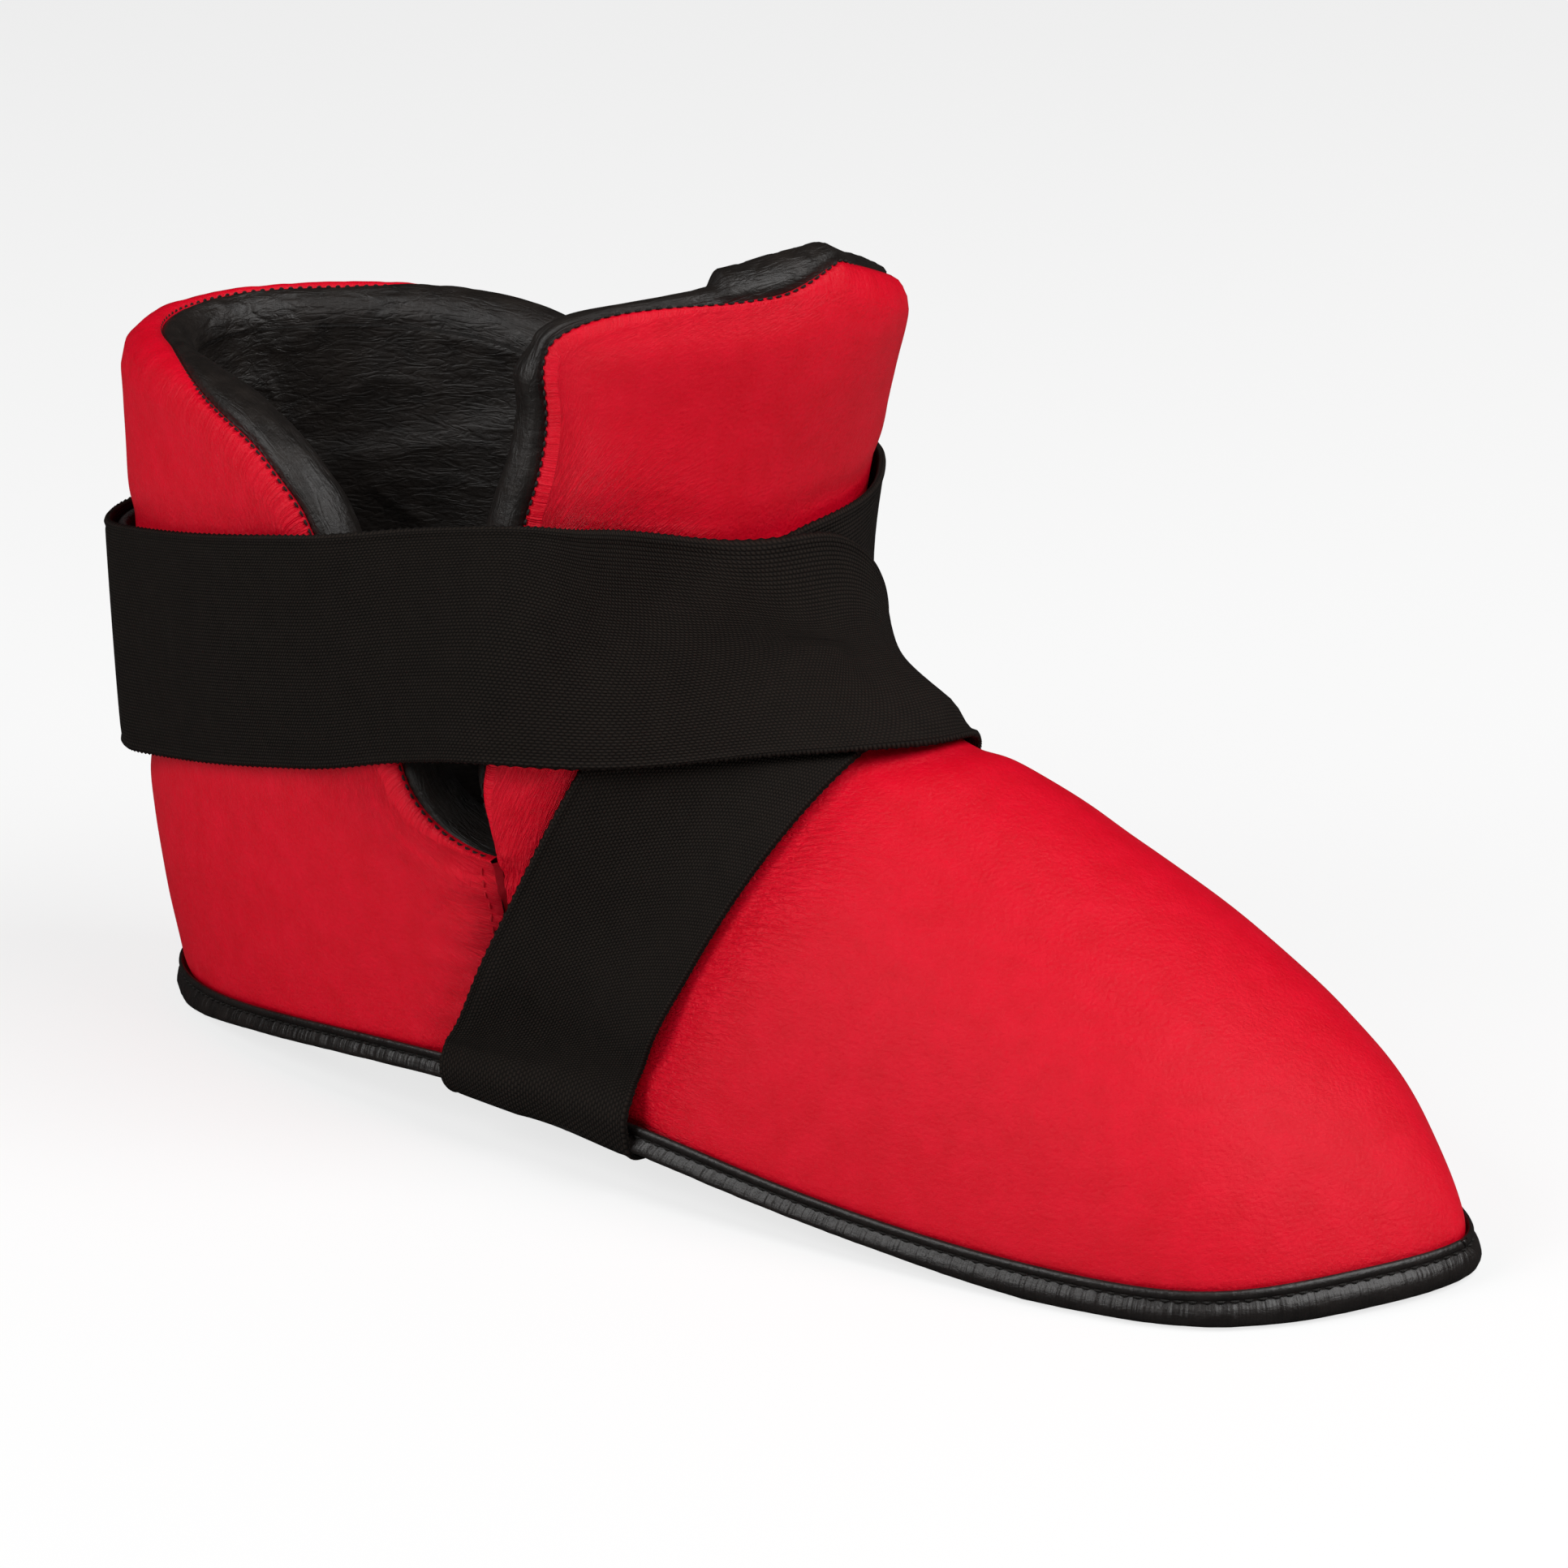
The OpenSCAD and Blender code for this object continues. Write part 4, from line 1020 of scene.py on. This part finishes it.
def makeFront():
    s, ss, aa = frontGrid()
    base, n = frontPoint(ss, aa), frontNormal(ss, aa)
    last, wide = len(s) - 1, aa.shape[1] - 1
    cut, seamLow = int(np.argmax(s >= frontPad["cutRow"])), int(np.argmax(s >= frontPad["seamRow"]))
    across, rowRun = runAlong(base, 1), runAlong(base)
    fromEdge = np.minimum(across, across[:, -1:] - across)
    border, path = overTheTop(seamLow, last, wide), overTheTop(cut, last, wide)
    seam, rise = frontSeam(s, aa, path)
    fromRim, run, place = borderOf(base, border)
    sewn = ease((9.15 - np.array([s[i] for i, j in border])) / 0.3)[place]
    d = fromRim + np.pad(overRoll(seam), cut - seamLow)[place]
    begun = ease((s - frontPad["seamRow"]) / 0.5)[:, None]
    toeHem = bell(fromEdge, seams["hemReach"]) * ease((7.1 - s) / 0.3)[:, None]
    near = strapNear(base)
    padded = restingShape(base, n, fromEdge, near, frontPad["seeds"])
    hold = np.maximum.reduce([
        bell(fromRim, 4) * begun, bell(fromEdge, 4) * ease((7.4 - s) / 0.5)[:, None],
        clamp((3.2 - near) / 2), np.broadcast_to(clamp(1 - s / 0.3)[:, None], d.shape)])
    swell = settleCover("frontCloth", padded, n, hold)
    grid = padded + n * (swell + begun * seamShape(d, run, sewn) - seams["hemTuck"] * toeHem)[..., None]
    rimSwell = np.array([
        ease((s[i] - frontPad["cutRow"]) / 0.45) if j in (0, wide) else 1.0 for i, j in path])
    rows = np.arange(cut + 1)
    hems = [(rows, 0 * rows + column, frontPad["hem"], column == 0) for column in (0, wide)]

    # creases run across the toe box and up the tongue, mostly beside the straps and the seams
    onTongue = ease((s - 8) / 1.2)[:, None]
    rowStep = np.diff(rowRun, axis=0) / mix(3.4, 1.0, onTongue)[1:]
    creaseRun = np.concatenate([np.zeros((1, wide + 1)), np.cumsum(rowStep, 0)])
    onSides = ease((np.abs(aa - 90) - 15) / 25)
    onCorners = np.maximum(ease((80 - aa) / 40), 0.5 * ease((aa - 110) / 40))
    flanks = mix(onSides, onCorners, onTongue)
    crinkle = 0.08 + 0.9 * bell(near, 15) * flanks + 0.5 * np.exp(-d / 7) * begun
    pucker = begun * np.exp(-d / mix(4.0, 9.0, sewn)) * mix(0.6, 1.0, sewn) + 0.35 * toeHem
    pieces = paddedWall("front", padded, grid, n, path, rimSwell, seam, hems, {
        "values": {"pucker": pucker, "seamRun": run, "crinkle": crinkle},
        "creases": np.stack([creaseRun, across / mix(1.0, 3.4, onTongue)], -1),
        "lining": np.stack([rowRun, across], -1), "creased": clamp(fromEdge / 6),
        "rise": rise, "inward": frontPad["inward"],
        "coverNodes": ("vamp_cover", "vamp_foam", "tongue_cover", "tongue_foam"),
        "liningNodes": ("vamp_lining", "tongue_lining", "collar_roll_lateral", "collar_roll_medial",
                        "tongue_roll")})
    for piece in pieces:
        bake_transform(piece)


heelPad = {
    "rows": 113, "columns": 241, "seeds": (2.7, 5.3), "sideSeam": 40, "flapSeam": 95,
    "hem": 2.4, "inward": 12,
    "stitchPitch": 2.6, "stitch": 1.7, "thread": 0.24,                # along the side seams
    "foldFrom": (-0.1468, 0, 0.0973), "foldTo": (-0.1501, 0, 0.112),  # metres, where the flap folds
}


def makeHeel():
    t = np.linspace(90, -90, heelPad["columns"])
    k = np.linspace(0, 1, heelPad["rows"])[:, None]
    tt = np.broadcast_to(t, (len(k), len(t)))
    zz = mix(heelLow(t), heelTop(t), k)
    base, n = heelPoint(tt, zz), heelNormal(tt, zz)
    last, wide = len(k) - 1, len(t) - 1
    across = runAlong(base, 1)
    fromEdge = np.minimum(across, across[:, -1:] - across)
    fromLow = zz - heelLow(t)
    border, path = overTheTop(0, last, wide), [(last, j) for j in range(wide + 1)]
    seam = mix(heelPad["sideSeam"], heelPad["flapSeam"], ease((58 - np.abs(t)) / 25))
    fromRim, run, place = borderOf(base, border)
    sewn = np.array([ease((abs(t[j]) - 80) / 8) if i == last else 1.0 for i, j in border])[place]
    d = fromRim + np.pad(overRoll(seam) * ease((88 - np.abs(t)) / 8), last)[place]
    near = strapNear(base)
    padded = restingShape(base, n, fromEdge, near, heelPad["seeds"])
    heelHem = bell(fromLow, seams["hemReach"])
    hold = np.maximum.reduce([bell(fromRim, 4), bell(fromLow, 4), clamp((3.2 - near) / 2)])
    swell = settleCover("heelCloth", padded, n, hold)
    grid = padded + n * (swell + seamShape(d, run, sewn) - seams["hemTuck"] * heelHem)[..., None]
    rimSwell = ease((90 - np.abs(t)) / 12)
    rows, columns = np.arange(len(k)), np.arange(len(t))
    hems = [(0 * columns, columns, 0, True), (rows, 0 * rows, heelPad["hem"], True),
            (rows, 0 * rows + wide, heelPad["hem"], False)]
    crinkle = 0.06 + 0.8 * np.exp(-d / 9) + 0.4 * bell(near, 10)
    pucker = np.exp(-d / mix(5.0, 9.0, sewn)) * mix(0.7, 1.0, sewn) + 0.35 * heelHem
    pieces = paddedWall("heel", padded, grid, n, path, rimSwell, seam, hems, {
        "values": {"pucker": pucker, "seamRun": run, "crinkle": crinkle},
        "creases": np.stack([zz / 3.6, across], -1),
        "lining": np.stack([zz, across], -1), "creased": clamp(fromEdge / 6),
        "rise": 0.0, "inward": heelPad["inward"],
        "coverNodes": ("heel_cover", "heel_foam", "flap_cover", "flap_foam"),
        "liningNodes": ("heel_lining", "flap_lining", "heel_roll_lateral", "heel_roll_medial", "flap_roll")})
    for piece in pieces:
        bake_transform(piece)
    rows = np.arange(int(0.3 * last), last - 2)
    for name, column in (("sideStitchesMedial", 1), ("sideStitchesLateral", wide - 1)):
        stitches = stitchesAlong(
            name, grid[rows, column], n[rows, column],
            heelPad["stitchPitch"], heelPad["stitch"], heelPad["thread"], redThread)
        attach(stitches, "boot")


makeFront()
makeHeel()
print("padded walls made")

# binding along the lower edge: stitched flange, groove and soft roll
binding = {
    "flange": 3.5, "groove": 1.8, "depth": (4.0, 1.8),  # heights, and the roll's depth where full and thin
    # steps outward and down from the flange's top, then outward and by shares of the roll's depth
    "flangeSteps": (
        (0.3, 0), (0.65, -0.12), (1.05, 0.15), (1.2, 0.6), (1.15, 1.1), (0.9, 1.5), (0.72, 1.8),
        (0.95, 2.15), (1.45, 2.6), (1.85, 3.2)),
    "rollSteps": (
        (2.08, 0.15), (2.15, 0.35), (2.02, 0.55), (1.7, 0.72), (1.2, 0.86), (0.5, 0.95), (-0.5, 0.995),
        (-2, 1), (-4, 1), (-6, 1), (-7.6, 0.96), (-8.9, 0.85), (-9.7, 0.65), (-10, 0.4), (-9.8, 0.1)),
    "ripples": ((0.16, 5.5, 3.3), (0.1, 1.9, 9.1)),     # height, length and seed of the unevenness
    "stitch": 1.7, "pitch": 2.5, "thread": 0.27,
    "spacing": 0.9,
}


def bindingProfile(drop):  # outward and upward steps from the wall's lower edge, for each place along it
    top = binding["flange"] + 0 * drop
    flange = [(0.2, top * 0.75)] + [(out, top - down) for out, down in binding["flangeSteps"]]
    return flange + [(out, -down * drop) for out, down in binding["rollSteps"]] + [(-9, 0.2 + 0 * drop)]


def makeBinding(name, edge, flangeTop, normal, thin, node, thread, threadNode):
    h = unit(normal * (1, 1, 0))
    run = runAlong(edge)
    drop = edge[:, 2] - np.maximum(0, edge[:, 2] - mix(*binding["depth"], thin))
    lean = (flangeTop - edge) / np.maximum(flangeTop[:, 2:] - edge[:, 2:], 0.5)
    columns = []
    for out, up in bindingProfile(drop):
        base = edge + np.where(up[:, None] > 0, lean * up[:, None], np.stack([0 * up, 0 * up, up], -1))
        columns.append(base + out * h)
    grid = np.stack(columns, 1)
    roll = np.array([0] * 8 + [0.3, 0.7] + [1] * 6 + [0.6, 0.3] + [0] * 9)  # share of the unevenness
    ripple = sum(high * waves(noisePlaces(run / size), 1.0, seed) for high, size, seed in binding["ripples"])
    grid = grid + (ripple[:, None] * roll)[..., None] * h[:, None]
    index = indexOf(grid)
    faces = tubeFaces(index).tolist() + [index[0].tolist(), index[-1][::-1].tolist()]
    obj = newMesh(name, grid, faces, bindingLeather, values={
        "pucker": np.broadcast_to(0.5 * roll + 0.3, index.shape),
        "seamRun": np.broadcast_to(run[:, None], index.shape)})
    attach(obj, "boot")
    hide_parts(node)
    line = edge + lean * (binding["flange"] - binding["groove"] + 0.05) + 0.85 * h
    stitches = stitchesAlong(
        thread, line, h, binding["pitch"], binding["stitch"], binding["thread"], blackThread)
    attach(stitches, "boot")
    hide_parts(threadNode)


def toeEdge():
    s = np.concatenate([np.linspace(7, 0.6, 260), np.linspace(0.6, 0.06, 60)[1:]])
    q = station(s)
    arc = np.minimum(np.degrees(np.arcsin(clamp(binding["flange"] / (q[3] - q[1])) ** (1 / q[9]))), 75)
    edge = np.concatenate([frontPoint(s, 0), frontPoint(s[::-1], 180)])
    top = np.concatenate([frontPoint(s, arc), frontPoint(s[::-1], 180 - arc[::-1])])
    n = np.concatenate([frontNormal(s, 0), frontNormal(s[::-1], 180)])
    run = runAlong(edge)
    places = np.arange(0, run[-1], binding["spacing"])
    thin = ease((np.interp(places, run, np.concatenate([s, s[::-1]])) - 2.6) / 2.2)
    n = evened(pickAt(places, run, n), binding["spacing"], 4, 12)
    return pickAt(places, run, edge), pickAt(places, run, top), unit(n), thin


def heelEdge():
    t = np.linspace(90, -90, 380)
    z = heelLow(t)
    thin = ease((np.abs(t) - 25) / 30)
    return heelPoint(t, z), heelPoint(t, z + binding["flange"]), heelNormal(t, z), thin


makeBinding("toeBinding", *toeEdge(), "toe_binding", "toeStitches", "toe_stitches")
makeBinding("heelBinding", *heelEdge(), "heel_binding", "heelStitches", "heel_stitches")
print("bindings made")

seamTape = {"rows": (7.25, 8.85), "heelAngle": 85, "frontAngle": 9, "behind": 0.5, "thick": 1.0}


def makeTape(name, w, node):  # inside the wall, over the side seam
    s = np.linspace(*seamTape["rows"], 24)
    z = frontPoint(s, 0)[:, 2]
    deep = wall + seamTape["behind"]
    t = np.full_like(s, w * seamTape["heelAngle"])
    a = seamTape["frontAngle"] if w < 0 else 180 - seamTape["frontAngle"]
    p = heelPoint(t, z) - deep * heelNormal(t, z)
    q = frontPoint(s, a) - deep * frontNormal(s, a)
    net = np.stack([mix(p, q, k) for k in np.linspace(0, 1, 12)], 1)
    n = np.broadcast_to(np.array([0, -w, 0.0]), net.shape)
    run = runAlong(p)
    tape = bandMesh(name, net, n, run, seamTape["thick"], elasticWeave)
    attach(tape, "boot")
    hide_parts(node)


toeBand = {
    "width": 24, "thick": 1.2, "tooth": 0.25, "spacing": 0.8,
    "row": 2.75, "perRow": 28,           # where it crosses, and millimetres from row to row there
    "ends": (17, 14, 11, 8, 6), "medialEnds": (174, 172, 169, 166, 163), "under": (3, 177),  # degrees
    "behind": 0.9, "low": 2.2, "sag": 1.5,
}


def makeToeBand():
    half = toeBand["width"] / 2 / toeBand["perRow"]
    s = toeBand["row"] + np.linspace(half, -half, 24)

    def onLining(a):
        return frontPoint(s, a) - (wall + toeBand["behind"]) * frontNormal(s, a)

    rows = [onLining(a) for a in toeBand["ends"]]
    a, b = (onLining(v) for v in toeBand["under"])
    for k in (0.1, 0.25, 0.5, 0.75, 0.9):
        row = mix(a, b, k)
        row[:, 2] = lift + toeBand["low"] + toeBand["sag"] * (2 * k - 1) ** 2
        rows.append(row)
    rows += [onLining(v) for v in toeBand["medialEnds"]]
    net, t, _ = throughRows(rows, [0] * len(rows), toeBand["spacing"])
    band = bandMesh("toeBand", net, -netNormals(net), t, toeBand["thick"], elasticWeave, toeBand["tooth"])
    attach(band, "boot")
    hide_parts("toe_band")


panelSeam = {"angle": 49.5, "fibres": (0.05, 0.96), "up": 3.65, "pitch": 2.6, "stitch": 1.8, "thread": 0.27}


def makePanelStitches():  # the lower strap's end, sewn to the loop panel
    line = rearRow(panelSeam["angle"], np.linspace(*panelSeam["fibres"], 60))
    out = heelNormal(panelSeam["angle"], line[:, 2])
    line = line + (straps["low"] + panelSeam["up"]) * out
    stitches = stitchesAlong(
        "panelStitches", line, out,
        panelSeam["pitch"], panelSeam["stitch"], panelSeam["thread"], blackThread)
    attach(stitches, "boot")
    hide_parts("panel_stitches")


makeTape("seamTapeLateral", -1, "side_seam_lateral")
makeTape("seamTapeMedial", 1, "side_seam_medial")
makeToeBand()
makePanelStitches()
print("tapes, toe band and stitches made")

# floor, light and background
studio = {
    "size": 8, "floor": 0.86, "glow": 0.75, "world": 0.14,
    "mirrored": 0.06,  # share of the floor and the room that the boot's shine picks up
    # place, size and power
    "lamps": {"leftLight": ((-0.5, -0.94, 0.82), 0.8, 10), "rightLight": ((0.96, 0.16, 1.2), 1.2, 23)},
    "aim": (0, 0, 0.06),
}


def makeFloor():
    half = studio["size"]
    mesh = bpy.data.meshes.new("floor")
    corners = [(-half, -half, 0), (half, -half, 0), (half, half, 0), (-half, half, 0)]
    mesh.from_pydata(corners, [], [(0, 1, 2, 3)])
    floor = bpy.data.objects.new("floor", mesh)
    scene.collection.objects.link(floor)
    mat = bpy.data.materials.new("paleFloor")
    mat.use_nodes = True
    mat.node_tree.nodes.clear()
    add = nodeAdder(mat.node_tree)
    path = add("ShaderNodeLightPath").outputs
    pale, dim = ((v, v, v, 1) for v in (studio["floor"], studio["floor"] * studio["mirrored"]))
    tone = add("ShaderNodeMix", {"Factor": path["Is Glossy Ray"], "A": pale, "B": dim}, data_type="RGBA")
    plain = add("ShaderNodeBsdfDiffuse", {"Color": tone.outputs["Result"]}).outputs[0]
    white = add("ShaderNodeEmission").outputs[0]
    share = maths(add, "MULTIPLY", path["Is Camera Ray"], studio["glow"])
    both = add("ShaderNodeMixShader", {0: share, 1: plain, 2: white}).outputs[0]
    add("ShaderNodeOutputMaterial", {"Surface": both})
    mesh.materials.append(mat)


def makeLight():
    world = bpy.data.worlds.new("paleRoom")
    world.use_nodes = True
    tree = world.node_tree
    add = nodeAdder(tree)
    room = tree.nodes["Background"]
    room.inputs["Color"].default_value = (1, 1, 1, 1)
    shiny = add("ShaderNodeLightPath").outputs["Is Glossy Ray"]
    level = rangeOf(add, shiny, studio["world"], studio["world"] * studio["mirrored"])
    tree.links.new(level, room.inputs["Strength"])
    scene.world = world
    for name, (place, size, power) in studio["lamps"].items():
        lamp = bpy.data.lights.new(name, "AREA")
        lamp.size, lamp.energy = size, power
        obj = bpy.data.objects.new(name, lamp)
        obj.location = place
        obj.rotation_euler = (Vector(studio["aim"]) - Vector(place)).to_track_quat("-Z", "Y").to_euler()
        scene.collection.objects.link(obj)


makeFloor()
makeLight()
print("studio set")
